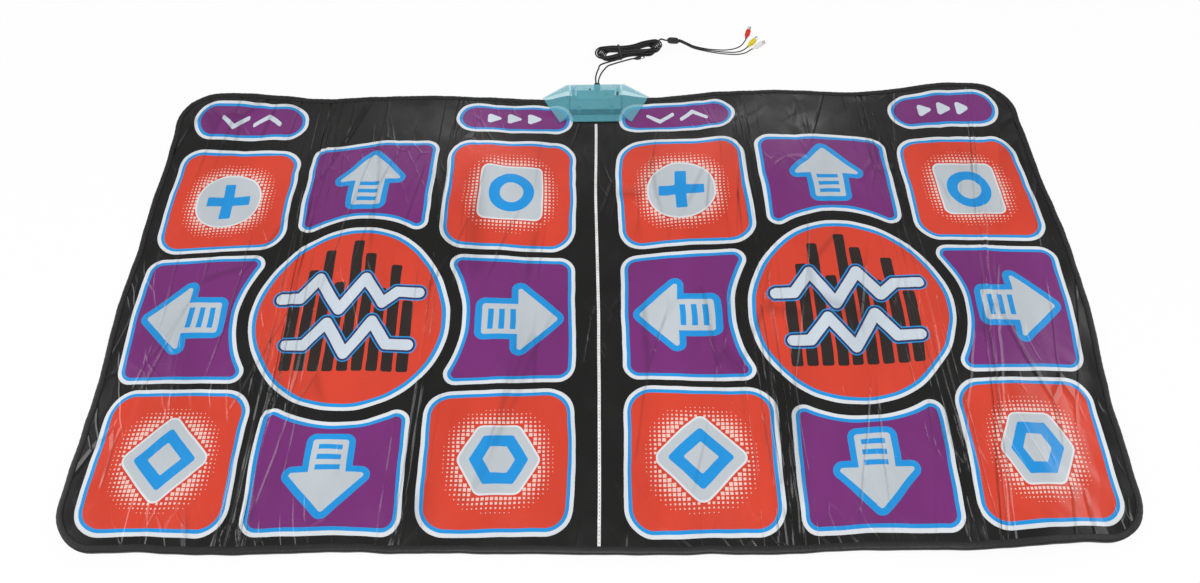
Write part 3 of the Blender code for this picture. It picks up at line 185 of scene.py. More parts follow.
TAIL_ROUTES = {
    "red": [(0.1915, 0.1437, 0.0052), (0.2060, 0.1382, 0.0015), (0.2310, 0.1302, 0.0014),
            (0.2500, 0.1272, 0.0014), (0.2710, 0.1262, 0.0014), (0.2900, 0.1300, 0.0014),
            (0.3035, 0.1378, 0.0022)],
    "yellow": [(0.1915, 0.1404, 0.0052), (0.2060, 0.1350, 0.0015), (0.2310, 0.1267, 0.0014),
               (0.2500, 0.1229, 0.0014), (0.2710, 0.1200, 0.0014), (0.2890, 0.1194, 0.0014),
               (0.3030, 0.1222, 0.0024)],
    "white": [(0.1915, 0.1371, 0.0052), (0.2060, 0.1317, 0.0015), (0.2310, 0.1231, 0.0014),
              (0.2500, 0.1183, 0.0014), (0.2730, 0.1143, 0.0014), (0.2930, 0.1132, 0.0014),
              (0.3090, 0.1158, 0.0024)],
}
POWER_ROUTE = [(0.0074, 0.0425, 0.0120), (0.0112, 0.0600, 0.0055), (0.0166, 0.0735, 0.0018),
               (0.0250, 0.0850, 0.0017), (0.0370, 0.0908, 0.0017), (0.0520, 0.0963, 0.0020),
               (0.0660, 0.1003, 0.0030)]
POWER_PLUG_AT = (0.0790, 0.1028)
POWER_PLUG_ANGLE = math.radians(9.0)
ROOT_ROUTE = [(0.0002, 0.0425, 0.0125), (0.0022, 0.0600, 0.0070), (0.0062, 0.0760, 0.0036),
              (0.0125, 0.0885, 0.0034)]
OVER_HANK = [(0.0205, -0.0140, -0.0031), (0.0300, -0.0153, -0.0013), (0.0400, -0.0137, 0.0003),
             (0.0500, -0.0084, 0.0005), (0.0575, -0.0010, 0.0005), (0.0640, 0.0064, 0.0003),
             (0.0700, 0.0112, -0.0010)]
GLAND_END = 0.0140 + 0.0080 + 0.0003  # rear wall, reach of the gland, clearance
GLAND_HEIGHT = 0.0165
AV_LEAD_X = 0.0006
POWER_LEAD_X = 0.0058
REARWARDS = Vector((0.0, 1.0, 0.0))
PLUG_RADIUS = 0.0054
PLUG_LENGTH = 0.0240
POWER_PLUG_RADIUS = 0.0037
TAIL_SPACING = 0.0032
LEAD_GAP = 0.0003
FLOOR_GAP = 0.0001


def hank_place(u, v, height):
    """World point of a place in the hank's own plan."""
    x = HANK_CENTRE[0] + u * math.cos(HANK_ANGLE) - v * math.sin(HANK_ANGLE)
    y = HANK_CENTRE[1] + u * math.sin(HANK_ANGLE) + v * math.cos(HANK_ANGLE)
    return Vector((x, y + REAR, height))


def hank_local(station, radius, start, end):
    """Point of a turn in the hank's own plan, at one of its stations."""
    half = RUN_POINTS + ARC_POINTS
    side = 1 if station < half else -1
    place = station % half
    if place < RUN_POINTS:
        u = (start + end) * place / RUN_POINTS - start
        v = HANK_WAIST * math.exp(-((u / HANK_WAIST_REACH) ** 2)) - radius
    else:
        angle = math.pi * (place - RUN_POINTS) / ARC_POINTS
        u = end + radius * math.sin(angle)
        v = -radius * math.cos(angle)
    return side * u, side * v


def hank_route():
    """Eight turns in four layers that spiral in and out again; the lead climbs on front runs."""
    stations = 2 * (RUN_POINTS + ARC_POINTS)
    per_layer = 2 * stations
    inner = HANK_RADIUS - 2 * HANK_STEP
    route = []
    for index in range(1, 4 * per_layer + RUN_POINTS // 2 + 2):
        layer, step = divmod(index, per_layer)
        end = HANK_STRAIGHTS[min(layer, 3)]
        start = HANK_STRAIGHTS[layer - 1] if layer and step < RUN_POINTS else end
        climb = min(1.0, step / RUN_POINTS) if layer else 1.0
        first = RUN_POINTS if layer else 0
        share = max(0.0, (step - first) / (per_layer - first))
        if layer % 2 == 0:
            radius = HANK_RADIUS + (inner - HANK_RADIUS) * share
        else:
            radius = inner + (HANK_RADIUS - inner) * share
        if layer == 4:
            layer, climb = 3, 1.0
            radius = HANK_RADIUS + HANK_LEAVE * max(0, step - RUN_POINTS // 2)
        level = max(0.0, layer - 1 + climb)
        u, v = hank_local(index % stations, radius, start, end)
        route.append(hank_place(u, v, HANK_LIFT + AV_LEAD / 2 + HANK_STEP * level))
    return route


def straight_out(start, way, diameter):
    return [start, start + way * diameter, start + way * 2 * diameter]


def lead_curve(name, replaced, points, diameter, finish, spacing=0.0032):
    """A round lead on one open curve, and its length."""
    data = bpy.data.curves.new(name, "CURVE")
    data.dimensions = "3D"
    data.bevel_depth = diameter / 2
    data.bevel_resolution = 3
    data.use_fill_caps = True
    route = smooth_route(points, spacing)
    spline = data.splines.new("POLY")
    spline.points.add(len(route) - 1)
    for point, place in zip(spline.points, route):
        point.co = (*place, 1.0)
    data.materials.append(finish)
    lead = settle(linked(name, data), "lead_black", *replaced)
    return lead, sum((b - a).length for a, b in zip(route, route[1:]))


def make_av_lead(finish):
    """The thick lead in one piece: out of the gland, through the hank and to the splitter."""
    start = from_rear(AV_LEAD_X, GLAND_END, GLAND_HEIGHT)
    axis = heading(SPLITTER_ANGLE, SPLITTER_SLOPE)
    end = SPLITTER - axis * (SPLITTER_SIZE[0] / 2 + LEAD_GAP)
    top = HANK_LIFT + AV_LEAD / 2 + HANK_STEP * 4
    points = straight_out(start, REARWARDS, AV_LEAD)
    points += [from_rear(*place) for place in ROOT_ROUTE]
    points += hank_route()
    points += [hank_place(u, v, top + rise) for u, v, rise in OVER_HANK]
    points += [end - axis * 1.5 * AV_LEAD, end]
    replaced = ("av_lead_root", "av_lead_hank", "av_lead_end")
    lead, length = lead_curve("av_lead", replaced, points, AV_LEAD, finish)
    return lead, start, length


def make_tails(finish):
    """Three thin leads from the splitter to their plugs."""
    axis = heading(SPLITTER_ANGLE, SPLITTER_SLOPE)
    across = Vector((-math.sin(SPLITTER_ANGLE), math.cos(SPLITTER_ANGLE), 0.0))
    tails = {}
    for index, (colour, (place, angle)) in enumerate(PLUGS.items()):
        start = SPLITTER + axis * (SPLITTER_SIZE[0] / 2 + LEAD_GAP)
        start = start + across * (1 - index) * TAIL_SPACING
        way = heading(angle)
        end = from_rear(*place, PLUG_RADIUS + FLOOR_GAP) - way * LEAD_GAP
        points = straight_out(start, axis, TAIL_LEAD)
        points += [from_rear(*spot) for spot in TAIL_ROUTES[colour]]
        points += [end - way * 2 * TAIL_LEAD, end]
        tail, length = lead_curve(f"lead_{colour}", [f"tail_{colour}"], points, TAIL_LEAD, finish,
                                  0.003)
        tails[colour] = (tail, start, length)
    return tails


def make_power_lead(finish):
    """The thin lead that lies beside the hank."""
    start = from_rear(POWER_LEAD_X, GLAND_END, GLAND_HEIGHT)
    way = heading(POWER_PLUG_ANGLE)
    end = from_rear(*POWER_PLUG_AT, POWER_PLUG_RADIUS) - way * LEAD_GAP
    points = straight_out(start, REARWARDS, POWER_LEAD)
    points += [from_rear(*place) for place in POWER_ROUTE]
    points += [end - way * 1.8 * POWER_LEAD, end]
    lead, length = lead_curve("dc_lead", ["power_lead"], points, POWER_LEAD, finish)
    return lead, start, length


# Finishes


def srgb(red, green, blue):
    """Linear colour from the 0 to 255 values of a colour chart."""
    shares = [value / 255 for value in (red, green, blue)]
    linear = [v / 12.92 if v <= 0.04045 else ((v + 0.055) / 1.055) ** 2.4 for v in shares]
    return (*linear, 1.0)


# Fold lines across the mat: X at the rear edge and at the front edge, height, width, and the
# places and heights of the thin ridges beside them
FOLDS = (
    (-0.521, -0.533, 0.0033, 0.0046,
     ((0.14, 0.4), (0.30, 0.8), (0.47, 1.0), (0.55, 0.6), (0.72, 0.5), (0.90, 0.3))),
    (-0.262, -0.300, 0.0016, 0.0055, ((0.20, 0.4), (0.43, 0.7), (0.52, 0.5), (0.80, 0.3))),
    (0.276, 0.290, 0.0036, 0.0046,
     ((0.12, 0.4), (0.33, 0.7), (0.44, 0.9), (0.52, 1.0), (0.66, 0.6), (0.84, 0.4))),
    (0.524, 0.560, 0.0022, 0.0050,
     ((0.18, 0.4), (0.40, 0.7), (0.50, 0.8), (0.62, 0.5), (0.82, 0.4))),
    (0.738, 0.592, 0.0022, 0.0040, ((0.50, 1.0), (0.57, 0.5))),
    (0.395, 0.420, 0.0010, 0.0070, ()),
    (-0.700, -0.690, 0.0009, 0.0060, ()),
)


class Finish:
    """A material under construction, with short calls for its usual nodes."""

    def __init__(self, name, colour, roughness, **sockets):
        self.material = bpy.data.materials.new(name)
        self.material.use_nodes = True
        self.nodes = self.material.node_tree.nodes
        self.links = self.material.node_tree.links
        self.shader = self.nodes["Principled BSDF"]
        self.colour = colour
        self.shader.inputs["Base Color"].default_value = colour
        self.shader.inputs["Roughness"].default_value = roughness
        for socket, value in sockets.items():
            self.shader.inputs[socket.replace("_", " ")].default_value = value
        self.coords = self.nodes.new("ShaderNodeTexCoord").outputs["Object"]
        self.height = None

    def place(self, stretch, turn=0.0):
        """Object coordinates, turned about Z and stretched along the axes."""
        mapping = self.nodes.new("ShaderNodeMapping")
        mapping.vector_type = "TEXTURE"
        mapping.inputs["Scale"].default_value = tuple(1.0 / share for share in stretch)
        mapping.inputs["Rotation"].default_value = (0.0, 0.0, math.radians(turn))
        self.links.new(self.coords, mapping.inputs["Vector"])
        return mapping.outputs["Vector"]

    def noise(self, scale, detail=3.0, stretch=None, warp=0.0):
        texture = self.nodes.new("ShaderNodeTexNoise")
        texture.inputs["Scale"].default_value = scale
        texture.inputs["Detail"].default_value = detail
        texture.inputs["Distortion"].default_value = warp
        where = self.place(stretch) if stretch else self.coords
        self.links.new(where, texture.inputs["Vector"])
        return texture.outputs["Fac"]

    def cells(self, scale, stretch=None, bend=0.0, bend_scale=1.0, turn=0.0):
        """Distance to the nearest edge of a field of cells, its edges bent by a noise."""
        texture = self.nodes.new("ShaderNodeTexVoronoi")
        texture.feature = "DISTANCE_TO_EDGE"
        texture.inputs["Scale"].default_value = scale
        where = self.place(stretch, turn) if stretch else self.coords
        if bend:
            waves = self.nodes.new("ShaderNodeTexNoise")
            waves.inputs["Scale"].default_value = bend_scale
            self.links.new(self.coords, waves.inputs["Vector"])
            push = self.nodes.new("ShaderNodeVectorMath")
            push.operation = "MULTIPLY_ADD"
            push.inputs[1].default_value = (bend, bend, 0.0)
            self.links.new(waves.outputs["Color"], push.inputs[0])
            self.links.new(where, push.inputs[2])
            where = push.outputs["Vector"]
        self.links.new(where, texture.inputs["Vector"])
        return texture.outputs["Distance"]

    def ramp(self, source, low, high, first, last):
        """Map a range of the source on two colours or numbers."""
        node = self.nodes.new("ShaderNodeValToRGB")
        node.color_ramp.elements[0].position = low
        node.color_ramp.elements[1].position = high
        for element, value in zip(node.color_ramp.elements, (first, last)):
            element.color = value if hasattr(value, "__len__") else (value, value, value, 1.0)
        self.links.new(source, node.inputs["Fac"])
        return node.outputs["Color"]

    def math(self, operation, *terms):
        """One step of arithmetic on sockets and numbers."""
        node = self.nodes.new("ShaderNodeMath")
        node.operation = operation
        for socket, term in zip(node.inputs, terms):
            if isinstance(term, float):
                socket.default_value = term
            else:
                self.links.new(term, socket)
        return node.outputs["Value"]

    def tone(self, source, low=0.3, high=0.7, spread=0.08):
        """Vary the base colour a little with the source."""
        dark = tuple(c * (1 - spread) for c in self.colour[:3]) + (1.0,)
        light = tuple(min(1.0, c * (1 + spread)) for c in self.colour[:3]) + (1.0,)
        self.links.new(self.ramp(source, low, high, dark, light), self.shader.inputs["Base Color"])

    def fold(self, rear_x, front_x, peaks):
        """Ridges beside a wandering line across the mat, each with its place and its height."""
        angle = math.atan2(rear_x - front_x, 2 * REAR)
        mapping = self.nodes.new("ShaderNodeMapping")
        mapping.inputs["Rotation"].default_value = (0.0, 0.0, angle)
        middle = -0.5 * (rear_x + front_x) * math.cos(angle)
        mapping.inputs["Location"].default_value = (middle, 0.0, 0.0)
        self.links.new(self.coords, mapping.inputs["Vector"])
        split = self.nodes.new("ShaderNodeSeparateXYZ")
        self.links.new(mapping.outputs["Vector"], split.inputs["Vector"])
        wander = self.math("MULTIPLY_ADD", self.noise(5.0, 1.0), 0.012, split.outputs["X"])
        across = self.math("MULTIPLY_ADD", wander, 9.0, 0.45)
        node = self.nodes.new("ShaderNodeValToRGB")
        stops = node.color_ramp.elements
        stops[0].color = stops[1].color = (0.0, 0.0, 0.0, 1.0)
        for place, height in peaks:
            for reach, share in ((-0.026, 0.0), (0.0, height), (0.014, 0.0)):
                stops.new(place + reach).color = (share, share, share, 1.0)
        self.links.new(across, node.inputs["Fac"])
        return node.outputs["Color"]

    def paint_shading(self, source, share):
        """Paint shading into the base colour: darken it where the source is high."""
        node = self.nodes.new("ShaderNodeMix")
        node.data_type = "RGBA"
        node.blend_type = "MULTIPLY"
        first, second = [socket for socket in node.inputs if socket.type == "RGBA"]
        second.default_value = (share, share, share, 1.0)
        base = self.shader.inputs["Base Color"]
        self.links.new(source, node.inputs["Factor"])
        self.links.new(base.links[0].from_socket, first)
        self.links.new(next(socket for socket in node.outputs if socket.type == "RGBA"), base)

    def rough(self, source, low, high, start=0.3, end=0.7):
        self.links.new(self.ramp(source, start, end, low, high), self.shader.inputs["Roughness"])

    def bump(self, source, strength, distance):
        node = self.nodes.new("ShaderNodeBump")
        node.inputs["Strength"].default_value = strength
        node.inputs["Distance"].default_value = distance
        self.links.new(source, node.inputs["Height"])
        if self.height:
            self.links.new(self.height, node.inputs["Normal"])
        self.height = node.outputs["Normal"]
        self.links.new(self.height, self.shader.inputs["Normal"])


def vinyl(name, colour, roughness=0.2, spread=0.08):
    """Glossy PVC film: broad flat facets, fold ridges and crease lines in patches, both with
    painted shading.
    """
    finish = Finish(name, colour, roughness, Specular_IOR_Level=0.5)
    finish.tone(finish.noise(11.0, 4.0, (1.0, 0.45, 1.0)), 0.32, 0.68, spread)
    finish.rough(finish.noise(16.0, 3.0), roughness - 0.05, roughness + 0.10)
    facets = finish.cells(8.0, (1.0, 0.55, 1.0), 0.35, 3.0)
    finish.bump(finish.ramp(facets, 0.0, 0.20, 0.0, 1.0), 0.22, 0.0016)
    patches = finish.ramp(finish.noise(9.0, 2.0), 0.42, 0.58, 0.15, 1.0)
    for rear_x, front_x, _, _, peaks in FOLDS:
        if peaks:
            ridges = finish.math("MULTIPLY", finish.fold(rear_x, front_x, peaks), patches)
            finish.bump(ridges, 0.9, 0.0026)
            # painted shading: the colour darkened along the fold ridges
            finish.paint_shading(ridges, 0.6)
    patches = finish.ramp(finish.noise(4.0, 2.0), 0.46, 0.56, 0.0, 1.0)
    lines = finish.ramp(finish.cells(5.0, (2.6, 0.45, 1.0), 0.08, 3.0, -9.0), 0.0, 0.035, 1.0, 0.0)
    lines = finish.math("MULTIPLY", lines, patches)
    finish.bump(lines, 0.8, 0.0016)
    # painted shading: the colour darkened along the crease lines
    finish.paint_shading(lines, 0.75)
    patches = finish.ramp(finish.noise(6.0, 2.0), 0.52, 0.62, 0.0, 1.0)
    lines = finish.ramp(finish.cells(15.0, (2.2, 0.5, 1.0), 0.12, 6.0, 16.0), 0.0, 0.06, 1.0, 0.0)
    finish.bump(finish.math("MULTIPLY", lines, patches), 0.5, 0.0012)
    finish.bump(finish.noise(30.0, 3.0, (1.0, 0.4, 1.0), 0.6), 0.12, 0.0012)
    return finish.material


def woven(name, colour, thread=0.0007, roughness=0.85):
    """Narrow woven tape or cloth."""
    finish = Finish(name, colour, roughness)
    finish.tone(finish.noise(60.0, 3.0), 0.3, 0.7, 0.12)
    finish.bump(finish.cells(1.0 / thread), 0.5, 0.0002)
    finish.bump(finish.noise(900.0, 2.0), 0.3, 0.0001)
    return finish.material


def moulded(name, colour, roughness=0.4, grain=500.0, **sockets):
    """Moulded plastic or rubber with a fine spark-eroded grain."""
    finish = Finish(name, colour, roughness, **sockets)
    finish.tone(finish.noise(40.0, 2.0), 0.3, 0.7, 0.05)
    finish.rough(finish.noise(90.0, 2.0), roughness - 0.05, roughness + 0.08)
    finish.bump(finish.noise(grain, 2.0), 0.25, 0.0001)
    return finish.material


def see_through(name, colour):
    """See-through moulding: about two thirds of the light passes."""
    finish = Finish(name, colour, 0.4, Specular_IOR_Level=0.2)
    finish.tone(finish.noise(24.0, 2.0), 0.3, 0.7, 0.05)
    finish.rough(finish.noise(55.0, 3.0), 0.32, 0.48)
    finish.bump(finish.noise(70.0, 2.0), 0.12, 0.0004)
    finish.shader.inputs["Alpha"].default_value = 0.34
    finish.material.surface_render_method = "DITHERED"
    return finish.material


def metal(name, colour, roughness):
    finish = Finish(name, colour, roughness, Metallic=1.0)
    finish.rough(finish.noise(300.0, 2.0, (1.0, 1.0, 0.2)), roughness - 0.05, roughness + 0.1)
    finish.bump(finish.noise(700.0, 2.0), 0.1, 0.00005)
    return finish.material


# Each finish: kind, name, colour, and the kind's own settings
FINISHES = {
    "pvc": (vinyl, "black_pvc", (17, 17, 16), 0.2, 0.14),
    "orange": (vinyl, "orange_print", (215, 66, 45)),
    "halo": (vinyl, "halftone_print", (240, 205, 196)),
    "purple": (vinyl, "purple_print", (118, 43, 116)),
    "blue": (vinyl, "blue_print", (28, 148, 222)),
    "grey": (vinyl, "grey_print", (192, 200, 206)),
    "white": (vinyl, "white_print", (222, 226, 230)),
    "charcoal": (vinyl, "charcoal_print", (42, 34, 32), 0.22, 0.12),
    "pale": (vinyl, "pale_print", (206, 216, 226)),
    "navy": (vinyl, "navy_print", (44, 52, 96)),
    "binding": (woven, "binding_tape", (9, 9, 10), 0.0009, 0.45),
    "thread": (woven, "black_thread", (58, 58, 60), 0.0003),
    "white_tape": (woven, "white_tape", (236, 236, 236), 0.0006, 0.7),
    "tape_thread": (woven, "tape_thread", (120, 120, 122), 0.0003),
    "foam": (moulded, "foam", (225, 225, 220), 0.85, 300.0),
    "backing": (woven, "backing_cloth", (46, 46, 48), 0.0011),
    "film": (moulded, "sensor_film", (150, 152, 155), 0.3),
    "clear": (see_through, "clear_blue", (124, 208, 224)),
    "board": (moulded, "circuit_board", (70, 118, 112), 0.5),
    "black": (moulded, "black_plastic", (22, 22, 23), 0.38),
    "rubber": (moulded, "gland_rubber", (26, 26, 27), 0.55, 300.0),
    "lead": (moulded, "lead_jacket", (20, 20, 21), 0.5, 900.0),
    "red_plug": (moulded, "red_moulding", (218, 44, 34), 0.3),
    "yellow_plug": (moulded, "yellow_moulding", (236, 214, 40), 0.3),
    "white_plug": (moulded, "white_moulding", (238, 238, 234), 0.3),
    "nickel": (metal, "nickel", (205, 205, 208), 0.2),
    "steel": (metal, "plated_steel", (190, 190, 192), 0.3),
}


def make_finishes():
    return {key: kind(name, srgb(*colour), *settings)
            for key, (kind, name, colour, *settings) in FINISHES.items()}


# Waves and creases of the mat

# How far the laminate lifts off the floor, in millimetres, on a net of nine by four places
NET_X = np.linspace(-0.80, 0.80, 9)
NET_Y = np.linspace(-0.40, 0.45, 4)
NET_WIDTHS = (0.16, 0.22)
NET_LIFT = [
    [8.5, 1.9, 1.8, 3.8, 5.1, 1.8, 0.1, 16.0, 0.0],
    [0.0, 0.0, 6.7, 0.0, 3.2, 0.0, 6.1, 14.1, 0.3],
    [4.8, 0.0, 16.0, 11.7, 2.6, 7.9, 16.0, 0.0, 6.1],
    [11.2, 0.0, 0.0, 0.0, 0.0, 1.1, 0.0, 3.5, 4.2],
]
# How far it lies out of square, in millimetres, on a net of thirteen by eight places
SHIFT_X = np.linspace(-0.82, 0.82, 13)
SHIFT_Y = np.linspace(-0.45, 0.46, 8)
SHIFT_WIDTHS = (0.115, 0.115)
NET_SHIFT_X = [
    [-0.7, -1.6, -3.4, -1.4, -0.3, 0.5, 0.4, 0.2, 2, 3, 4.7, 1.6, 0.2],
    [0.1, -3.2, -3.6, -3.1, -1.1, 4, 1.6, -1.6, 6.8, 7.3, 7.7, 1.6, -0.3],
    [2.5, -1.7, -0.2, -2.1, -2.3, 0.2, 1.2, 1.5, 6, 4.8, 3.3, 2.5, 1.4],
    [-4.3, -6.2, -0.8, -2, -6.2, 0.9, 2, -0, 10, 3.8, 10.7, 5.2, 9.2],
    [1.4, -2.7, -0.9, -2.5, -3.8, -0.3, 0.5, 1.3, 6.3, 4.9, 4.9, 5.9, 9.4],
    [2.2, -8.4, -1.3, -2.3, -2.1, 3.2, -1.1, -3.5, 4, 5.7, 6.6, 7.2, 2],
    [3.2, -1.4, -1.3, -0.9, -1.8, 0.7, 0.5, -0.6, 2.5, 3.7, 5.5, 3.7, -2.4],
    [-0.3, 0.1, -0, 0.5, -0.2, 0.7, 0.8, -0.7, -0.9, 0.6, 3.3, 1.9, -0.1],
]
NET_SHIFT_Y = [
    [2.1, 5.6, -1.2, 2.5, 0, 0.9, -2.2, -3.7, -3.2, -0.4, -5.5, 4.9, 3.8],
    [2.4, 4.5, 4.6, 10.3, 3, 2.7, 0.6, 4.1, 3.1, 9.9, 3.6, 5.2, 3.4],
    [4.2, 6.9, 2.6, 0.1, -0.2, 1.5, 4.6, 3.2, -0.4, 0.3, 2, 7.6, 6.2],
    [2, 4.6, 2.8, 0.5, -0.3, -1.2, 0.4, 1.9, 1, 0.7, 3.1, 6.5, 3.6],
    [-0.2, 5, 5.3, 6.2, 2.6, -3, -4.1, 2.4, 4.9, 7.4, 4.9, 5.2, 2],
    [0.1, -2.2, 2.6, 2.9, 3.8, 1, 0.8, 2.8, 5.1, 3.8, 4.2, 0.4, 1.8],
    [0.8, -3.1, 0.6, 10.3, 10.2, 15, 1.4, 12.9, 12, 11.8, 3.7, 5.6, 4.1],
    [4.8, 14.9, -5.2, 2.6, -1.1, -11.5, -9.6, -10.5, 4, -0.8, -5.4, 16, 7.9],
]

def lattice(x, y, seed):
    """Smooth noise of about -0.7 to 0.7 with one cell to the unit."""
    column, row = np.floor(x).astype(np.int64), np.floor(y).astype(np.int64)
    fx, fy = x - column, y - row
    total = np.zeros_like(x)
    for step_x in (0, 1):
        for step_y in (0, 1):
            key = (column + step_x) * 374761393 + (row + step_y) * 668265263 + seed * 974634777
            key = (key ^ (key >> 13)) * 1274126177 & 0xFFFFFFFF
            angle = (key ^ (key >> 16)) / 4294967296 * 2 * math.pi
            dx, dy = fx - step_x, fy - step_y
            weight = (1 - np.abs(dx)) ** 2 * (1 + 2 * np.abs(dx))
            weight = weight * (1 - np.abs(dy)) ** 2 * (1 + 2 * np.abs(dy))
            total += weight * (np.cos(angle) * dx + np.sin(angle) * dy)
    return total


def smoothstep(value):
    value = np.clip(value, 0.0, 1.0)
    return value * value * (3 - 2 * value)


def away_from_box(x, y, reach, half_width=0.112, depth=0.082):
    """0 under the control box, 1 beyond a reach from it."""
    dx = np.maximum(np.abs(x) - half_width, 0.0)
    dy = np.maximum(REAR - depth - y, 0.0)
    return smoothstep(np.hypot(dx, dy) / reach)


def on_net(x, y, net, net_x, net_y, wide, deep):
    total = np.zeros_like(x)
    for row, at_y in zip(net, net_y):
        for value, at_x in zip(row, net_x):
            if value:
                total += value * np.exp(-((x - at_x) / wide) ** 2 - ((y - at_y) / deep) ** 2)
    return total / 1000


def lift(x, y):
    """Height of the whole laminate off the floor."""
    raised = on_net(x, y, NET_LIFT, NET_X, NET_Y, *NET_WIDTHS)
    ripple = 0.0022 * lattice(x * 7.0, y * 3.0, 5) + 0.0010 * lattice(x * 17.0, y * 6.0, 6)
    raised = np.maximum(raised - 0.0035 + ripple, 0.0)
    raised = raised * raised / (raised + 0.0015)
    return raised * away_from_box(x, y, 0.16)


def stray(x, y, seed):
    """Small uneven shifts in one direction."""
    return 0.0034 * lattice(x * 9.0, y * 9.0, seed) + 0.0016 * lattice(x * 27.0, y * 27.0, seed + 1)


def shifted(x, y):
    """Where a point of the flat mat lies in plan."""
    clear = away_from_box(x, y, 0.05, 0.052, 0.058)
    dx = on_net(x, y, NET_SHIFT_X, SHIFT_X, SHIFT_Y, *SHIFT_WIDTHS)
    dy = on_net(x, y, NET_SHIFT_Y, SHIFT_X, SHIFT_Y, *SHIFT_WIDTHS)
    loose = smoothstep((np.abs(x) - 0.004) / 0.04)
    dx += loose * stray(x, y, 51)
    dy += loose * stray(x, y, 53)
    puckered = smoothstep((y - 0.05) / 0.25) * smoothstep((REAR - 0.010 - y) / 0.012) * loose
    puckered *= smoothstep((MAT_WIDTH / 2 - 0.012 - np.abs(x)) / 0.02)
    dy += 0.0034 * puckered * (2.4 * np.abs(lattice(x * 17.0, y * 8.0, 55)) - 0.4)
    dx += 0.0020 * puckered * (2.4 * np.abs(lattice(x * 8.0, y * 17.0, 56)) - 0.4)
    return x + dx * clear, y + dy * clear


def fold_lines(x, y):
    """Each fold's height and width, its number and how far across it the places lie."""
    down = (REAR - y) / MAT_DEPTH
    for number, (rear_x, front_x, rise, width, _) in enumerate(FOLDS):
        row = y * 0 + number * 7.3
        wander = 0.006 * lattice(y * 7.0, row, 11) + 0.001 * lattice(y * 41.0, row, 12)
        yield number, rise, width, x - (rear_x + (front_x - rear_x) * down) - wander


def near_fold(x, y):
    """Whether places lie by a fold, where the sheets are meshed more finely."""
    near = np.zeros(x.shape, dtype=bool)
    for _, rise, _, across in fold_lines(x, y):
        near |= np.abs(across) < (0.022 if rise > 0.0015 else 0.010)
    return near


def creases(x, y):
    """Height of the cover's folds, puckers and crinkles over the foam."""
    height = np.zeros_like(x)
    calm = 1.0 - 0.7 * smoothstep((y - 0.33) / 0.06)
    for number, rise, width, across in fold_lines(x, y):
        row = y * 0 + number * 3.1
        rise = rise * calm
        strength = 0.75 + 0.9 * lattice(y * 6.0, row, 13)
        height += rise * strength * np.exp(-np.abs(across / width) ** 1.3)
        beside = 0.0080 + 0.004 * lattice(y * 8.0, row, 14)
        for side, seed in ((-1, 15), (1, 16)):
            minor = 0.60 * rise * np.clip(0.55 + 1.6 * lattice(y * 7.0, row, seed), 0.0, 1.3)
            height += minor * np.exp(-np.abs((across - side * beside * 1.3) / (0.6 * width)) ** 1.4)
            valley = (across - side * beside * 0.62) / (0.7 * width)
            height -= 0.40 * rise * strength * np.exp(-valley ** 2)
    height += 0.0008 * lattice(x * 13.0, y * 6.0, 21)
    bend_x = x + 0.03 * lattice(x * 8.0, y * 8.0, 22)
    bend_y = y + 0.03 * lattice(x * 8.0, y * 8.0, 23)
    patchy = 0.35 + 1.4 * np.clip(lattice(x * 5.0, y * 5.0, 24) + 0.2, 0.0, 1.0)
    patchy *= calm
    height -= 0.0016 * patchy * (np.abs(lattice(bend_x * 13.0, bend_y * 5.5, 25)) - 0.2)
    slanting = lattice(bend_x * 25.0 + bend_y * 9.0, bend_y * 15.0, 26)
    height += 0.0006 * patchy * (np.abs(slanting) - 0.2)
    rim_x = MAT_WIDTH / 2 - np.abs(x)
    rim_y = REAR - np.abs(y)
    inward = smoothstep((np.minimum(rim_x, rim_y) - 0.010) / 0.025)
    return np.clip(height, -0.0022, 0.0042) * inward * away_from_box(x, y, 0.07)


# Outlines, in metres


def arc(cx, cy, radius, start, end, steps):
    """Points of an arc, angles in degrees, both ends included."""
    angles = [math.radians(start + (end - start) * step / steps) for step in range(steps + 1)]
    return [(cx + radius * math.cos(angle), cy + radius * math.sin(angle)) for angle in angles]


def rounded_rectangle(half_x, half_y, radius, steps=12):
    points = []
    for side_x, side_y, start in ((1, 1, 0), (-1, 1, 90), (-1, -1, 180), (1, -1, 270)):
        corner = (side_x * (half_x - radius), side_y * (half_y - radius))
        points += arc(*corner, radius, start, start + 90, steps)
    return points


def corner_pad_outline(grow):
    return rounded_rectangle(CORNER_PAD[0] + grow, CORNER_PAD[1] + grow, CORNER_PAD[2] + grow)


def button_outline(grow):
    radius = BUTTON[1] + grow
    reach = BUTTON[0] - BUTTON[1]
    return arc(reach, 0, radius, -90, 90, 28) + arc(-reach, 0, radius, 90, 270, 28)


def arrow_pad_outline(half_width, outer, grow):
    """Arrow pad on the +Y side of the disc's centre, its hollow side towards the disc."""
    side, top, hollow = half_width + grow, outer + grow, ARROW_HOLLOW - grow
    tip, outside = 0.021 + grow, 0.028 + grow
    tip_x = side - tip
    tip_y = math.sqrt((hollow + tip) ** 2 - tip_x ** 2)
    lean = math.degrees(math.atan2(tip_y, tip_x))
    points = arc(tip_x, tip_y, tip, lean - 180, 0, 8)
    points += arc(side - outside, top - outside, outside, 0, 90, 8)
    points += arc(outside - side, top - outside, outside, 90, 180, 8)
    points += arc(-tip_x, tip_y, tip, 180, 360 - lean, 8)
    points += arc(0, 0, hollow, 180 - lean, lean, 36)[1:-1]
    return points


def turned(points, quarters):
    for _ in range(quarters % 4):
        points = [(-y, x) for x, y in points]
    return points


def spun(points, degrees):
    cosine, sine = math.cos(math.radians(degrees)), math.sin(math.radians(degrees))
    return [(x * cosine - y * sine, x * sine + y * cosine) for x, y in points]


def moved(points, dx, dy):
    return [(x + dx, y + dy) for x, y in points]


def sides_of(loop):
    return zip(loop, loop[1:] + loop[:1])


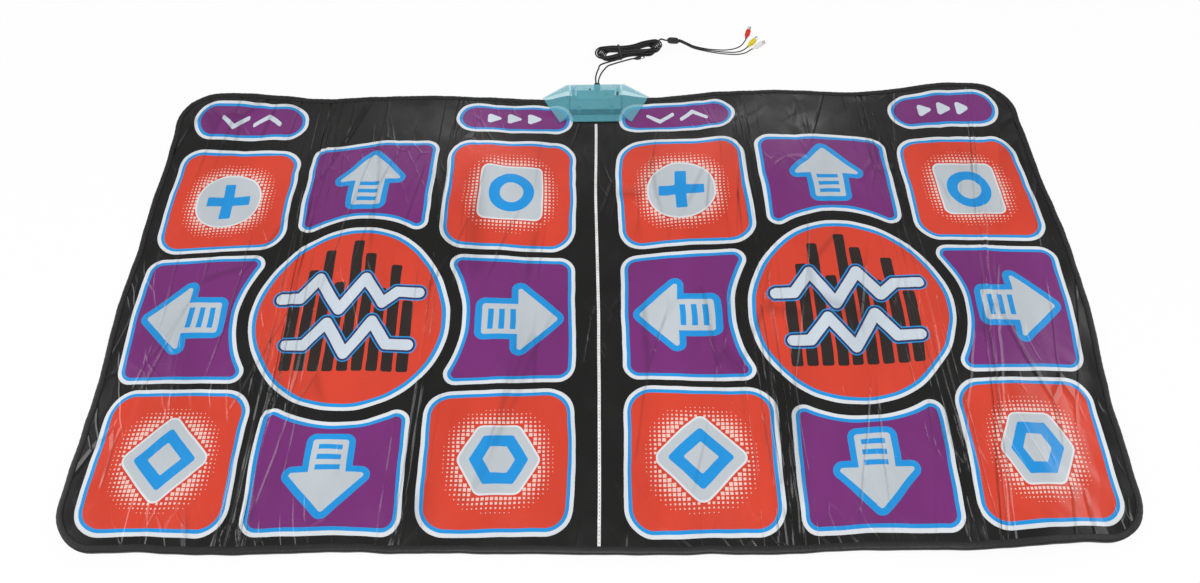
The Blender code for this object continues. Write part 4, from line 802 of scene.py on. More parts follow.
def signed_area(loop):
    """Area of an outline, positive if it runs anticlockwise."""
    return sum(a[0] * b[1] - b[0] * a[1] for a, b in sides_of(loop)) / 2


def anticlockwise(loop):
    return loop if signed_area(loop) > 0 else loop[::-1]


def grown(points, growth):
    """A plain outline with straight sides moved outwards."""
    side = 1 if signed_area(points) > 0 else -1
    lines = []
    for (ax, ay), (bx, by) in sides_of(points):
        dx, dy = bx - ax, by - ay
        long = math.hypot(dx, dy)
        nx, ny = side * dy / long, -side * dx / long
        lines.append((nx, ny, nx * ax + ny * ay + growth))
    result = []
    for (a, b, c), (d, e, f) in zip(lines[-1:] + lines[:-1], lines):
        cross = a * e - b * d
        result.append(((c * e - b * f) / cross, (a * f - c * d) / cross))
    return result


def rounded(points, radius, steps=6):
    """An outline with its corners rounded, by one radius or by one for each corner."""
    result = []
    count = len(points)
    radii = radius if hasattr(radius, "__len__") else [radius] * count
    for index, place in enumerate(points):
        if not radii[index]:
            result.append(place)
            continue
        corner = Vector(place)
        before = Vector(points[index - 1]) - corner
        after = Vector(points[(index + 1) % count]) - corner
        half = before.angle(after) / 2
        run = min(radii[index] / math.tan(half), 0.48 * before.length, 0.48 * after.length)
        turn = run * math.tan(half)
        inwards = (before.normalized() + after.normalized()).normalized()
        middle = corner + inwards * run / math.cos(half)
        first = corner + before.normalized() * run - middle
        last = corner + after.normalized() * run - middle
        sweep_angle = math.atan2(first.x * last.y - first.y * last.x, first.dot(last))
        start = math.atan2(first.y, first.x)
        for step in range(steps + 1):
            angle = start + sweep_angle * step / steps
            result.append((middle.x + turn * math.cos(angle), middle.y + turn * math.sin(angle)))
    return result


def mm(points):
    return [(x / 1000, y / 1000) for x, y in points]


# Printed figures: lists of a finish and an outline, the later ones on top, in millimetres


def inside(x, y, loop):
    """Whether a point lies in an outline."""
    found = False
    for (ax, ay), (bx, by) in sides_of(loop):
        if (ay > y) != (by > y) and x < ax + (y - ay) * (bx - ax) / (by - ay):
            found = not found
    return found


def box_of(half_x, half_y, x=0.0, y=0.0):
    return [(x - half_x, y - half_y), (x + half_x, y - half_y), (x + half_x, y + half_y),
            (x - half_x, y + half_y)]


def halftone(ground, reach=91.0, pitch=6.9, power=2.6, fade=34.0, largest=2.85, least=0.55):
    """Squares that shrink away from the figure's ground."""
    figures = []
    half = int(reach / pitch) + 1
    guard = grown(ground, 1.5)
    for column in range(-half, half + 1):
        for row in range(-half, half + 1):
            x, y = column * pitch, row * pitch
            far = (abs(x) ** power + abs(y) ** power) ** (1 / power)
            size = largest * min(1.0, (reach - far) / fade)
            if size < least or inside(x, y, guard):
                continue
            corners = box_of(size, size, x, y)
            if not any(inside(*corner, guard) for corner in corners):
                figures.append(("halo", corners))
    return figures


def on_ground(ground, figure, middle=None):
    """A blue figure with a grey middle on a grey ground, in a halo of squares."""
    figures = halftone(ground)
    figures.append(("white", rounded(grown(ground, 3.2), 15.0)))
    figures.append(("grey", rounded(ground, 12.0)))
    figures.append(("blue", figure))
    return figures + ([("grey", middle)] if middle else [])


def many_sided(sides, reach):
    """A regular outline with a corner on +X."""
    return [(reach * math.cos(2 * math.pi * k / sides), reach * math.sin(2 * math.pi * k / sides))
            for k in range(sides)]


def cross_figure():
    """A plain plus sign on a round ground."""
    plus = []
    for quarter in range(4):
        plus += spun([(40, -10), (40, 10), (10, 10)], 90 * quarter)
    return on_ground(arc(0, 0, 58.0, 0, 352.5, 47), rounded(plus, 2.5))


def ring_figure():
    """A plain closed ring on a square ground."""
    ring, hole = arc(0, 0, 40.0, 0, 352, 44), arc(0, 0, 21.0, 0, 350, 35)
    return on_ground([(54, -54), (54, 54), (-54, 54), (-54, -54)], ring, hole)


def sided_figure(sides, ground, outer, inner, corner):
    """A plain closed outline with straight sides, on a ground of its own shape."""
    return on_ground(many_sided(sides, ground), rounded(many_sided(sides, outer), corner),
                     rounded(many_sided(sides, inner), 2.5))


def arrow_figure(share):
    """A plain block arrow towards +Y, edged in blue, with three stripes across its shaft."""
    body = [(0, 62), (-66, -4), (-30, -4), (-30, -62), (30, -62), (30, -4), (66, -4)]
    soft = rounded(body, (5, 4, 0, 5, 5, 0, 4))
    figures = [("blue", grown(soft, 11.0)), ("grey", soft)]
    figures += [("blue", box_of(20, 4.5, 0, y)) for y in (-48.0, -30.0, -12.0)]
    return [(finish, [(x * share, y * share) for x, y in loop]) for finish, loop in figures]


def select_figure():
    """Two chevrons side by side, one down and one up."""
    figures = []
    for side in (-1, 1):
        chevron = [(0, 19), (-27, -4), (-27, -15), (0, 7), (27, -15), (27, -4)]
        chevron = [(x + side * 32, y * side) for x, y in chevron]
        figures.append(("pale", rounded(chevron if side == 1 else chevron[::-1], 3.0)))
    return figures


def start_figure():
    """A row of three forward triangles."""
    return [("pale", rounded([(x - 14, 18), (x - 14, -18), (x + 17, 0)], 5.0))
            for x in (-38, 0, 38)]


def stroke(points, width):
    """The outline of a thick line with round ends and joints."""
    half = width / 2
    sides = []
    for way in (points, points[::-1]):
        for index in range(len(way) - 1):
            (ax, ay), (bx, by) = way[index], way[index + 1]
            heading_now = math.degrees(math.atan2(by - ay, bx - ax))
            if index == 0:
                sides += arc(ax, ay, half, heading_now + 180, heading_now + 270, 5)
                continue
            px, py = way[index - 1]
            heading_before = math.degrees(math.atan2(ay - py, ax - px))
            turn = (heading_now - heading_before + 180) % 360 - 180
            if turn > 0:
                sides += arc(ax, ay, half, heading_before - 90, heading_before - 90 + turn, 6)
            else:
                bisector = math.radians(heading_before + turn / 2 - 90)
                reach = half / math.cos(math.radians(turn / 2))
                sides.append((ax + reach * math.cos(bisector), ay + reach * math.sin(bisector)))
        (ax, ay), (bx, by) = way[-2], way[-1]
        heading_now = math.degrees(math.atan2(by - ay, bx - ax))
        sides += arc(bx, by, half, heading_now - 90, heading_now, 5)
    return sides


def disc_figures():
    """Rings, an orange disc, level bars on one line and two pale pulse lines across them."""
    figures = [(finish, arc(0, 0, DISC_RADIUS * 1000 - inset, 0, 357, 119))
               for finish, inset in (("white", 0.0), ("blue", 6.5), ("orange", 13.0))]
    for index, level in enumerate((20, 88, 126, 64, 144, 118, 52, 96, 30)):
        x = (index - 4) * 25.0
        bar = [(x - 9.5, -100), (x + 9.5, -100), (x + 9.5, level), (x - 9.5, level)]
        figures.append(("charcoal", rounded(bar, 4)))
    upper = [(-124, 34), (-92, 34), (-62, 72), (-22, 12), (20, 70), (54, 24), (80, 46), (120, 46)]
    lower = [(-104, -52), (-74, -52), (-40, -12), (0, -68), (40, -10), (70, -50), (106, -50)]
    for line in (upper, lower):
        for finish, width in (("blue", 30.0), ("navy", 26.0), ("pale", 19.0)):
            figures.append((finish, stroke(line, width)))
    return figures


def placed(figures, dx=0.0, dy=0.0, quarters=0):
    """Figures in metres, turned by quarters and moved."""
    return [(finish, moved(turned(mm(loop), quarters), dx, dy)) for finish, loop in figures]


# Sheets

# Spacing of their points: hidden sheets, cover, pads, and the seen ones by a fold
HIDDEN_SPACING = 0.018
COVER_SPACING = 0.0062
PAD_SPACING = 0.0045
FOLD_SPACING = 0.0028


def finely(loop, step):
    """An outline with no side longer than a step."""
    points = []
    for (ax, ay), (bx, by) in sides_of(loop):
        count = max(1, math.ceil(math.hypot(bx - ax, by - ay) / step))
        points += [(ax + (bx - ax) * k / count, ay + (by - ay) * k / count) for k in range(count)]
    return points


def covers(loop, places):
    """Which of the places lie in an outline."""
    x, y = places[:, 0], places[:, 1]
    corners = np.array(loop)
    low, high = corners.min(axis=0), corners.max(axis=0)
    near = np.flatnonzero((x > low[0]) & (x < high[0]) & (y > low[1]) & (y < high[1]))
    x, y = x[near], y[near]
    found = np.zeros(len(near), dtype=bool)
    for (ax, ay), (bx, by) in sides_of(loop):
        if ay != by:
            found ^= ((ay > y) != (by > y)) & (x < ax + (y - ay) * (bx - ax) / (by - ay))
    within = np.zeros(len(places), dtype=bool)
    within[near[found]] = True
    return within


def plan_of(rim, holes, figures, spacing, fine=True):
    """Triangles of a printed sheet in plan, with the figure that each lies in."""
    loops = [anticlockwise(finely(loop, spacing)) for loop in [rim] + holes]
    loops += [anticlockwise(finely(loop, spacing * 1.6)) for _, loop in figures]
    points, sides = [], []
    for loop in loops:
        first = len(points)
        points += loop
        sides += [(first + k, first + (k + 1) % len(loop)) for k in range(len(loop))]
    tree = KDTree(len(points))
    for index, (x, y) in enumerate(points):
        tree.insert((x, y, 0.0), index)
    tree.balance()
    low, high = np.min(rim, axis=0), np.max(rim, axis=0)
    for step, by_fold in ((spacing, False), (min(spacing, FOLD_SPACING), True)):
        rows = np.arange(low[1] + 0.5 * step, high[1], 0.866 * step)
        columns = np.arange(low[0] + 0.25 * step, high[0], step)
        x, y = np.meshgrid(columns, rows)
        x[1::2] += 0.5 * step
        chosen = near_fold(x, y) == by_fold if fine else np.full(x.shape, not by_fold)
        for place in zip(x[chosen].tolist(), y[chosen].tolist()):
            if tree.find((*place, 0.0))[2] > 0.55 * step:
                points.append(place)
    made = delaunay_2d_cdt([Vector(point) for point in points], sides, [], 0, 1e-7, False)
    flat = np.array([tuple(point) for point in made[0]])
    triangles = np.array(made[2])
    centres = flat[triangles].mean(axis=1)
    kept = covers(rim, centres)
    for hole in holes:
        kept &= ~covers(hole, centres)
    triangles, centres = triangles[kept], centres[kept]
    finishes = np.full(len(triangles), -1)
    for index, (_, loop) in enumerate(figures):
        finishes[covers(loop, centres)] = index
    marks = [figures[index][0] if index >= 0 else None for index in finishes]
    return flat, [tuple(corners) for corners in triangles.tolist()], marks


def lay_sheet(name, plan, base, finishes, top, thickness, wrinkled=1.0):
    """A closed sheet over the waves, from its plan."""
    flat, triangles, marks = plan
    used = sorted({corner for triangle in triangles for corner in triangle})
    renumber = {old: new for new, old in enumerate(used)}
    flat = flat[used]
    triangles = [tuple(renumber[corner] for corner in triangle) for triangle in triangles]
    x, y = flat[:, 0], flat[:, 1]
    raised = lift(x, y) + wrinkled * creases(x, y)
    moved_x, moved_y = shifted(x, y)
    count = len(flat)
    upper = np.stack([moved_x, moved_y, top + raised], 1)
    lower = upper - np.array([0.0, 0.0, thickness])
    edges = dict.fromkeys(side for a, b, c in triangles for side in ((a, b), (b, c), (c, a)))
    rim = [(a, b) for a, b in edges if (b, a) not in edges]
    faces = triangles + [(a + count, c + count, b + count) for a, b, c in triangles]
    faces += [(b, a, a + count, b + count) for a, b in rim]
    mesh = bpy.data.meshes.new(name)
    mesh.from_pydata(np.concatenate([upper, lower]).tolist(), [], faces)
    names = [base] + sorted({mark for mark in marks if mark and mark != base})
    for mark in names:
        mesh.materials.append(finishes[mark])
    slots = [names.index(mark) if mark else 0 for mark in marks]
    slots += [0] * (len(faces) - len(slots))
    mesh.polygons.foreach_set("material_index", slots)
    mesh.polygons.foreach_set("use_smooth", [True] * len(faces))
    mesh.set_sharp_from_angle(angle=math.radians(45))
    mesh.update()
    return linked(name, mesh)


def pad_list():
    """Each pad's node, its outline by growth, its fill and its figures."""
    corners = {"rear_left": (-1, 1, cross_figure()), "rear_right": (1, 1, ring_figure()),
               "front_left": (-1, -1, sided_figure(4, 70.0, 50.0, 26.0, 5.0)),
               "front_right": (1, -1, sided_figure(6, 62.0, 46.0, 25.0, 4.0))}
    arrows = [arrow_figure(share) for share in ARROW_SHARES]
    pads = []
    for player, middle in PLAYER_CENTRES.items():
        for name, (side_x, side_y, figures) in corners.items():
            centre = (middle + side_x * CORNER_PAD_AT[0], DISC_Y + side_y * CORNER_PAD_AT[1])

            def outline(grow, at=centre):
                return moved(corner_pad_outline(grow), *at)

            pads.append((f"{player}_pad_{name}", outline, "orange", placed(figures, *centre)))
        for name, (quarters, half_width, outer) in ARROWS.items():
            def outline(grow, q=quarters, w=half_width, o=outer, at=middle):
                return moved(turned(arrow_pad_outline(w, o, grow), q), at, DISC_Y)

            dx, dy = turned([(0.0, ARROW_AT[quarters % 2])], quarters)[0]
            figures = placed(arrows[quarters % 2], middle + dx, DISC_Y + dy, quarters)
            pads.append((f"{player}_pad_{name}", outline, "purple", figures))
        for name, side, figures in (("select", -1, select_figure()), ("start", 1, start_figure())):
            centre = (middle + side * BUTTON_AT[0], DISC_Y + BUTTON_AT[1])

            def outline(grow, at=centre):
                return moved(button_outline(grow), *at)

            pads.append((f"{player}_button_{name}", outline, "purple", placed(figures, *centre)))
    return pads


def make_pads(pads, finishes):
    made = []
    for node, outline, fill, figures in pads:
        layers = [("blue", outline(-WHITE_LINE)), (fill, outline(-BLUE_LINE))] + figures
        plan = plan_of(outline(-PAD_CLEARANCE), [], layers, PAD_SPACING)
        pad = lay_sheet("print_" + node, plan, "white", finishes, COVER_TOP, PAD_THICKNESS)
        made.append(settle(pad, fill + "_print", node, body=node))
    return made


def mat_outline(inset, notched=False):
    points = rounded_rectangle(MAT_WIDTH / 2 - inset, REAR - inset, MAT_CORNER_RADIUS - inset)
    if notched:
        edge = REAR - inset
        notch = [(NOTCH_HALF_WIDTH, edge), (NOTCH_HALF_WIDTH, NOTCH_FRONT),
                 (-NOTCH_HALF_WIDTH, NOTCH_FRONT), (-NOTCH_HALF_WIDTH, edge)]
        points = points[:13] + notch + points[13:]
    return points


def make_cover(pads, finishes):
    """Black cover with an opening at each pad and the two printed discs."""
    figures = []
    for middle in PLAYER_CENTRES.values():
        figures += placed(disc_figures(), middle, DISC_Y)
    rim = mat_outline(COVER_INSET)
    holes = [outline(0.0) for _, outline, _, _ in pads]
    x, y, radius = BOSS_HOLE
    holes += [arc(side * x, y, radius, 0, 330, 11) for side in (-1, 1)]
    cover = lay_sheet("pvc_cover", plan_of(rim, holes, figures, COVER_SPACING), "pvc", finishes,
                      COVER_TOP, COVER_THICKNESS)
    settle(cover, "black_pvc", "top_cover")
    return cover, abs(signed_area(rim)) - sum(abs(signed_area(hole)) for hole in holes)


def make_foam(finishes):
    """Soft core, on which the cover lies."""
    plan = plan_of(mat_outline(FOAM_INSET, True), [], [], HIDDEN_SPACING, False)
    core = lay_sheet("foam_core", plan, "foam", finishes, FOAM_TOP, FOAM_THICKNESS, 0.0)
    settle(core, "foam", "foam_pad", "sensor_film_top", "sensor_film_bottom", "spacer_foam_left",
           "spacer_foam_right")


def make_backing(finishes):
    """Cloth underside."""
    rim = mat_outline(BACKING_INSET, True)
    plan = plan_of(rim, [], [], HIDDEN_SPACING, False)
    backing = lay_sheet("backing_sheet", plan, "backing", finishes, BACKING_TOP,
                        BACKING_THICKNESS, 0.0)
    settle(backing, "backing", "base_sheet")
    abs(signed_area(rim))


def edit_whole(operator, **settings):
    """Run one operator of edit mode on the whole of the active piece."""
    bpy.ops.object.mode_set(mode="EDIT")
    bpy.ops.mesh.select_all(action="SELECT")
    operator(**settings)
    bpy.ops.object.mode_set(mode="OBJECT")


def smoothed(piece, degrees):
    """Shade the selected piece smooth below an angle, and let it go."""
    bpy.ops.object.shade_smooth_by_angle(angle=math.radians(degrees))
    piece.select_set(False)
    return piece


def rim_stations(step):
    """Even stations round the rim from one side of the box to the other: point and way inwards."""
    start = BOX_HALF_WIDTH + 0.0013
    loop = finely(mat_outline(0.0), 0.002)
    straight = MAT_WIDTH / 2 - MAT_CORNER_RADIUS - 0.001
    corner = next(k for k, (x, y) in enumerate(loop) if x < straight and y > 0)
    loop = loop[corner:] + loop[:corner]
    path = [point for point in loop if not (abs(point[0]) < start and point[1] > 0)]
    first = next(k for k, (x, y) in enumerate(path) if x < 0 and y > 0.44)
    path = [(-start, REAR)] + path[first:] + path[:first] + [(start, REAR)]
    lengths = np.concatenate([[0.0], np.cumsum([math.dist(a, b) for a, b in zip(path, path[1:])])])
    count = round(lengths[-1] / step)
    where = np.linspace(0.0, lengths[-1], count + 1)
    points = np.array(path)
    x, y = np.interp(where, lengths, points[:, 0]), np.interp(where, lengths, points[:, 1])
    along = np.gradient(np.stack([x, y], 1), axis=0)
    along /= np.linalg.norm(along, axis=1)[:, None]
    inwards = np.stack([-along[:, 1], along[:, 0]], 1)
    return x, y, inwards


def sweep(name, rings, finish):
    """A closed mesh through rings of points, capped at both ends."""
    stations, corners = rings.shape[:2]
    faces = []
    for k in range(stations - 1):
        this, following = k * corners, (k + 1) * corners
        for c in range(corners):
            d = (c + 1) % corners
            faces.append((this + c, this + d, following + d, following + c))
    faces.append(tuple(range(corners))[::-1])
    faces.append(tuple(range((stations - 1) * corners, stations * corners)))
    mesh = bpy.data.meshes.new(name)
    mesh.from_pydata(rings.reshape(-1, 3).tolist(), [], faces)
    mesh.materials.append(finish)
    made = linked(name, mesh)
    bpy.ops.object.select_all(action="DESELECT")
    bpy.context.view_layer.objects.active = made
    made.select_set(True)
    edit_whole(bpy.ops.mesh.normals_make_consistent, inside=False)
    return smoothed(made, 50)


# The folded tape's section in millimetres: distance in from the rim and height
BINDING_SECTION = [
    (11.0, 0.0), (6.0, -0.0), (2.4, 0.05), (0.9, 0.5), (0.15, 1.7), (-0.05, 4.6), (0.15, 7.5),
    (0.9, 8.9), (2.4, 9.3), (5.0, 9.45), (8.2, 9.35), (10.7, 9.2), (11.0, 8.9), (10.7, 8.65),
    (5.0, 8.6), (1.6, 8.2), (0.75, 7.2), (0.6, 4.6), (0.75, 1.9), (1.6, 0.9), (5.0, 0.62),
    (10.9, 0.6),
]
BINDING_STEP = 0.004
BINDING_STITCH = (0.0042, 0.0007)
BINDING_STITCH_PITCH = 0.0062
BINDING_STITCH_INSET = 0.0086
BINDING_STITCH_HEIGHT = 0.00935
# The middle tape's section in millimetres: distance across and height
TAPE_SECTION = [(-2.5, 0.05), (-2.3, 0.42), (-1.4, 0.62), (1.4, 0.62), (2.3, 0.42), (2.5, 0.05),
                (0.0, 0.05)]
TAPE_STATIONS = 320
TAPE_STITCH = (0.0034, 0.0008)
TAPE_STITCH_PITCH = 0.0056
TAPE_STITCH_HEIGHT = 0.0009
# One stitch, in halves of its length and width: a flattened diamond of thread
STITCH_SHAPE = [(-1, 0, 0.1), (-0.55, 1, 0.1), (0.55, 1, 0.1), (1, 0, 0.1), (0.55, -1, 0.1),
                (-0.55, -1, 0.1), (-0.5, 0, 1), (0.5, 0, 1), (0.0, 0, -0.6)]
STITCH_SIDES = [(0, 1, 6), (1, 2, 7, 6), (2, 3, 7), (3, 4, 7), (4, 5, 6, 7), (5, 0, 6), (1, 0, 8),
                (2, 1, 8), (3, 2, 8), (4, 3, 8), (5, 4, 8), (0, 5, 8)]


def make_binding(finishes):
    """Tape folded round the rim, puckered where it is sewn down."""
    x, y, inwards = rim_stations(BINDING_STEP)
    section = np.array(BINDING_SECTION) / 1000
    steps = np.arange(len(x))
    pucker = 0.00022 * np.sin(steps * 2.1) + 0.00045 * lattice(steps * 0.23, steps * 0.0 + 0.5, 31)
    rings = np.zeros((len(x), len(section), 3))
    for corner, (inset, height) in enumerate(section):
        px, py = x + inwards[:, 0] * inset, y + inwards[:, 1] * inset
        over = np.clip((height - 0.002) / 0.007, 0.0, 1.0)
        swell = pucker * over * (1.2 - inset / 0.011)
        sx, sy = shifted(px, py)
        rings[:, corner] = np.stack([sx, sy, height + lift(px, py) + swell], 1)
    binding = sweep("binding_tape", rings, finishes["binding"])
    return settle(binding, "black_tape", "edge_binding")


def stitch_row(name, x, y, heights, ways, size, finish, slot):
    """Short stitches that lie along a seam."""
    length, width = size
    points, faces = [], []
    for px, py, pz, (wx, wy) in zip(x, y, heights, ways):
        first = len(points)
        for along, across, up in STITCH_SHAPE:
            a, c = along * length / 2, across * width / 2
            points.append((px + wx * a - wy * c, py + wy * a + wx * c, pz + up * width * 0.55))
        faces += [tuple(first + k for k in side[::-1]) for side in STITCH_SIDES]
    mesh = bpy.data.meshes.new(name)
    mesh.from_pydata(points, [], faces)
    mesh.materials.append(finish)
    return settle(linked(name, mesh), slot)


def make_binding_stitches(finishes):
    x, y, inwards = rim_stations(BINDING_STITCH_PITCH)
    px = x + inwards[:, 0] * BINDING_STITCH_INSET
    py = y + inwards[:, 1] * BINDING_STITCH_INSET
    heights = BINDING_STITCH_HEIGHT + lift(px, py)
    sx, sy = shifted(px, py)
    ways = np.stack([inwards[:, 1], -inwards[:, 0]], 1)
    return stitch_row("binding_stitches", sx[1:-1], sy[1:-1], heights[1:-1], ways[1:-1],
                      BINDING_STITCH, finishes["thread"], "black_tape")


def tape_line(y):
    """The middle tape's slightly wavering X, and the height of the cover under it."""
    x = 0.0007 * lattice(y * 11.0, y * 0 + 0.4, 41)
    return x, COVER_TOP + lift(x, y) + creases(x, y)


def make_centre_tape(finishes):
    """White tape down the middle, with its row of stitches."""
    y = np.linspace(-REAR + BINDING_WIDTH + 0.0003, REAR - 0.0753, TAPE_STATIONS)
    x, surface = tape_line(y)
    rings = np.zeros((len(y), len(TAPE_SECTION), 3))
    for corner, (across, up) in enumerate(TAPE_SECTION):
        px, py = shifted(x + across / 1000, y)
        rings[:, corner] = np.stack([px, py, surface + 0.00025 + up / 1000], 1)
    tape = sweep("middle_tape", rings, finishes["white_tape"])
    settle(tape, "white_tape", "centre_tape")
    y = np.arange(-REAR + 0.016, REAR - 0.080, TAPE_STITCH_PITCH)
    x, surface = tape_line(y)
    sx, sy = shifted(x, y)
    ways = np.tile([0.0, 1.0], (len(y), 1))
    stitches = stitch_row("middle_stitches", sx, sy, surface + TAPE_STITCH_HEIGHT, ways,
                          TAPE_STITCH, finishes["tape_thread"], "white_tape")
    return tape, stitches


# Small parts


def new_piece(name, finish):
    piece = bpy.context.object
    piece.name = name
    piece.data.name = name
    piece.data.materials.clear()
    piece.data.materials.append(finish)
    return piece


def bevel(piece, width, segments, degrees):
    """Round the edges that are sharper than an angle."""
    edges = piece.modifiers.new("edges", "BEVEL")
    edges.width = width
    edges.segments = segments
    edges.limit_method = "ANGLE"
    edges.angle_limit = math.radians(degrees)
    bpy.context.view_layer.objects.active = piece
    bpy.ops.object.modifier_apply(modifier="edges")


def draw_up(name, profile, start, direction, finish, sides=28):
    """A turned piece drawn up from a circle, station by station: distance along and radius."""
    bpy.ops.object.select_all(action="DESELECT")
    along, radius = profile[0]
    bpy.ops.mesh.primitive_circle_add(vertices=sides, radius=radius, fill_type="NGON",
                                      location=(0, 0, along))
    bpy.ops.object.mode_set(mode="EDIT")
    for (low, small), (high, large) in zip(profile, profile[1:]):
        bpy.ops.mesh.extrude_region_move(TRANSFORM_OT_translate={"value": (0, 0, high - low)})
        share = large / small
        bpy.ops.transform.resize(value=(share, share, 1.0), center_override=(0, 0, high))
    bpy.ops.object.mode_set(mode="OBJECT")
    edit_whole(bpy.ops.mesh.normals_make_consistent, inside=False)
    piece = new_piece(name, finish)
    bpy.ops.object.transform_apply(location=True, rotation=False, scale=False)
    turn = direction.to_track_quat("Z", "Y").to_matrix().to_4x4()
    piece.data.transform(Matrix.Translation(start) @ turn)
    return smoothed(piece, 38)


# Turned profiles of the plated parts: distance along and radius
SKIRT = [(0.0, 0.0030), (0.0002, 0.0041), (0.0060, 0.0041), (0.0078, 0.0042), (0.0085, 0.0040),
         (0.0084, 0.00345), (0.0020, 0.0034), (0.0019, 0.0016), (0.0088, 0.0016),
         (0.0095, 0.0013), (0.0099, 0.0006)]
BARREL = [(0.0, 0.0026), (0.0002, 0.00275), (0.0078, 0.00275), (0.0086, 0.0025),
          (0.0090, 0.0021), (0.0086, 0.0012), (0.0040, 0.0011)]
POWER_GRIP_LENGTH = 0.0143


def make_plugs(finishes):
    """Moulded phono plugs with ribbed grips, and their plated skirts and pins."""
    made = {}
    for colour, (place, angle) in PLUGS.items():
        way = heading(angle)
        rear = from_rear(*place, PLUG_RADIUS + FLOOR_GAP)
        grip = [(0.0, 0.0016), (0.0002, 0.0019)]
        for rib in range(4):
            base = 0.0008 + rib * 0.0019
            size = 0.0020 + rib * 0.00028
            grip += [(base, size), (base + 0.0002, size + 0.0006), (base + 0.0010, size + 0.0007),
                     (base + 0.0012, size + 0.0001)]
        grip += [(0.0092, 0.0036), (0.0098, 0.0050), (0.0104, 0.0054), (0.0130, 0.0054)]
        for groove in range(4):
            at = 0.0136 + groove * 0.0018
            grip += [(at, 0.0054), (at + 0.0002, 0.0050), (at + 0.0007, 0.0050),
                     (at + 0.0009, 0.0054)]
        grip += [(0.0224, 0.0054), (0.0235, 0.0051), (0.0240, 0.0046)]
        body = draw_up(f"grip_{colour}", grip, rear, way, finishes[f"{colour}_plug"])
        settle(body, f"plug_{colour}", f"plug_{colour}_grip")
        seat = rear + way * (PLUG_LENGTH + LEAD_GAP)
        metalwork = draw_up(f"skirt_{colour}", SKIRT, seat, way, finishes["nickel"])
        settle(metalwork, "plug_metal", f"plug_{colour}_contact")
        made[colour] = (body, metalwork)
    return made


def make_power_plug(finishes):
    """Low-voltage plug: a tapered grip with finger ribs and a plated barrel."""
    way = heading(POWER_PLUG_ANGLE)
    rear = from_rear(*POWER_PLUG_AT, POWER_PLUG_RADIUS)
    grip = [(0.0, 0.0017), (0.0010, 0.0021), (0.0016, 0.0018), (0.0024, 0.0024), (0.0030, 0.0021),
            (0.0049, 0.0034)]
    for rib in range(4):
        at = 0.0056 + rib * 0.0018
        grip += [(at, 0.0036), (at + 0.0007, 0.0036), (at + 0.0009, 0.0033), (at + 0.0013, 0.0033)]
    grip += [(0.0130, 0.0036), (0.0140, 0.0032)]
    body = draw_up("dc_grip", grip, rear, way, finishes["black"])
    seat = rear + way * POWER_GRIP_LENGTH
    metalwork = draw_up("dc_barrel", BARREL, seat, way, finishes["nickel"])
    settle(body, "lead_black", "power_plug_grip")
    settle(metalwork, "plug_metal", "power_plug_contact")
    return body, metalwork


def make_splitter(finishes):
    """Moulded block with a pinched waist and a sleeve for each lead."""
    bpy.ops.object.select_all(action="DESELECT")
    bpy.ops.mesh.primitive_cube_add(size=1.0, location=(0, 0, 0), scale=SPLITTER_SIZE)
    bpy.ops.object.transform_apply(location=False, rotation=False, scale=True)
    edit_whole(bpy.ops.mesh.subdivide, number_cuts=3)
    piece = new_piece("lead_splitter", finishes["lead"])
    half = SPLITTER_SIZE[0] / 2
    for vertex in piece.data.vertices:
        near = abs(vertex.co.x) / half
        waist = 0.30 * max(0.0, near - 0.45) / 0.55 if vertex.co.x < 0 else 0.10 * near ** 3
        vertex.co.y *= 1.0 - waist
        vertex.co.z *= 1.0 - 0.22 * max(0.0, near - 0.5) / 0.5
    bevel(piece, 0.0016, 3, 40)
    axis = heading(SPLITTER_ANGLE, SPLITTER_SLOPE)
    turn = axis.to_track_quat("X", "Z").to_matrix().to_4x4()
    piece.data.transform(Matrix.Translation(SPLITTER) @ turn)
    return settle(smoothed(piece, 45), "lead_black", "av_splitter")


def make_switch(finishes):
    """Slide knob with finger ridges, its sides hidden in the slot."""
    low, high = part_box("power_switch")
    middle = (low + high) / 2
    size = high - low
    bpy.ops.object.select_all(action="DESELECT")
    bpy.ops.mesh.primitive_cube_add(size=1.0, location=middle, scale=size)
    edit_whole(bpy.ops.mesh.subdivide, number_cuts=6)
    knob = new_piece("switch_knob", finishes["black"])
    bpy.ops.object.transform_apply(location=True, rotation=False, scale=True)
    for vertex in knob.data.vertices:
        if vertex.co.z > high.z - 0.0001:
            row = round((vertex.co.y - low.y) / size.y * 7)
            vertex.co.z -= 0.0006 if row % 2 == 0 else 0.0
    bevel(knob, 0.00018, 2, 30)
    settle(smoothed(knob, 40), "black_plastic", "power_switch", body="power_switch")


NODE_FINISHES = {
    "clear": ("upper_shell", "lower_shell"),
    "board": ("circuit_board", "tail_clamp"),
    "black": ("chip_blob", "power_led", "hank_tie"),
    "film": ("flex_tail",),
    "rubber": ("cord_gland",),
    "steel": ("box_screw_1", "box_screw_2", "box_screw_3", "box_screw_4"),
}


def finish_nodes(finishes):
    """Finishes for the model's own pieces that stay in view."""
    for finish, names in NODE_FINISHES.items():
        for name in names:
            data = nodes[name].data
            data.materials.clear()
            data.materials.append(finishes[finish])


# Studio


def looked_at(finish):
    """1 for a ray from the eye or by way of a gloss or a clear piece, and 0 for light."""
    path = finish.nodes.new("ShaderNodeLightPath")
    total = path.outputs["Is Camera Ray"]
    for ray in ("Is Glossy Ray", "Is Transmission Ray"):
        total = finish.math("MAXIMUM", total, path.outputs[ray])
    return total


SKY_STRENGTH = 0.33
FLOOR_SIZE = 60.0
FLOOR_LEVEL = -0.0003
FLOOR_GLOW = 0.92
BACKDROP = {"radius": 29.0, "depth": 5.1, "location": (0, 0, 2.5)}
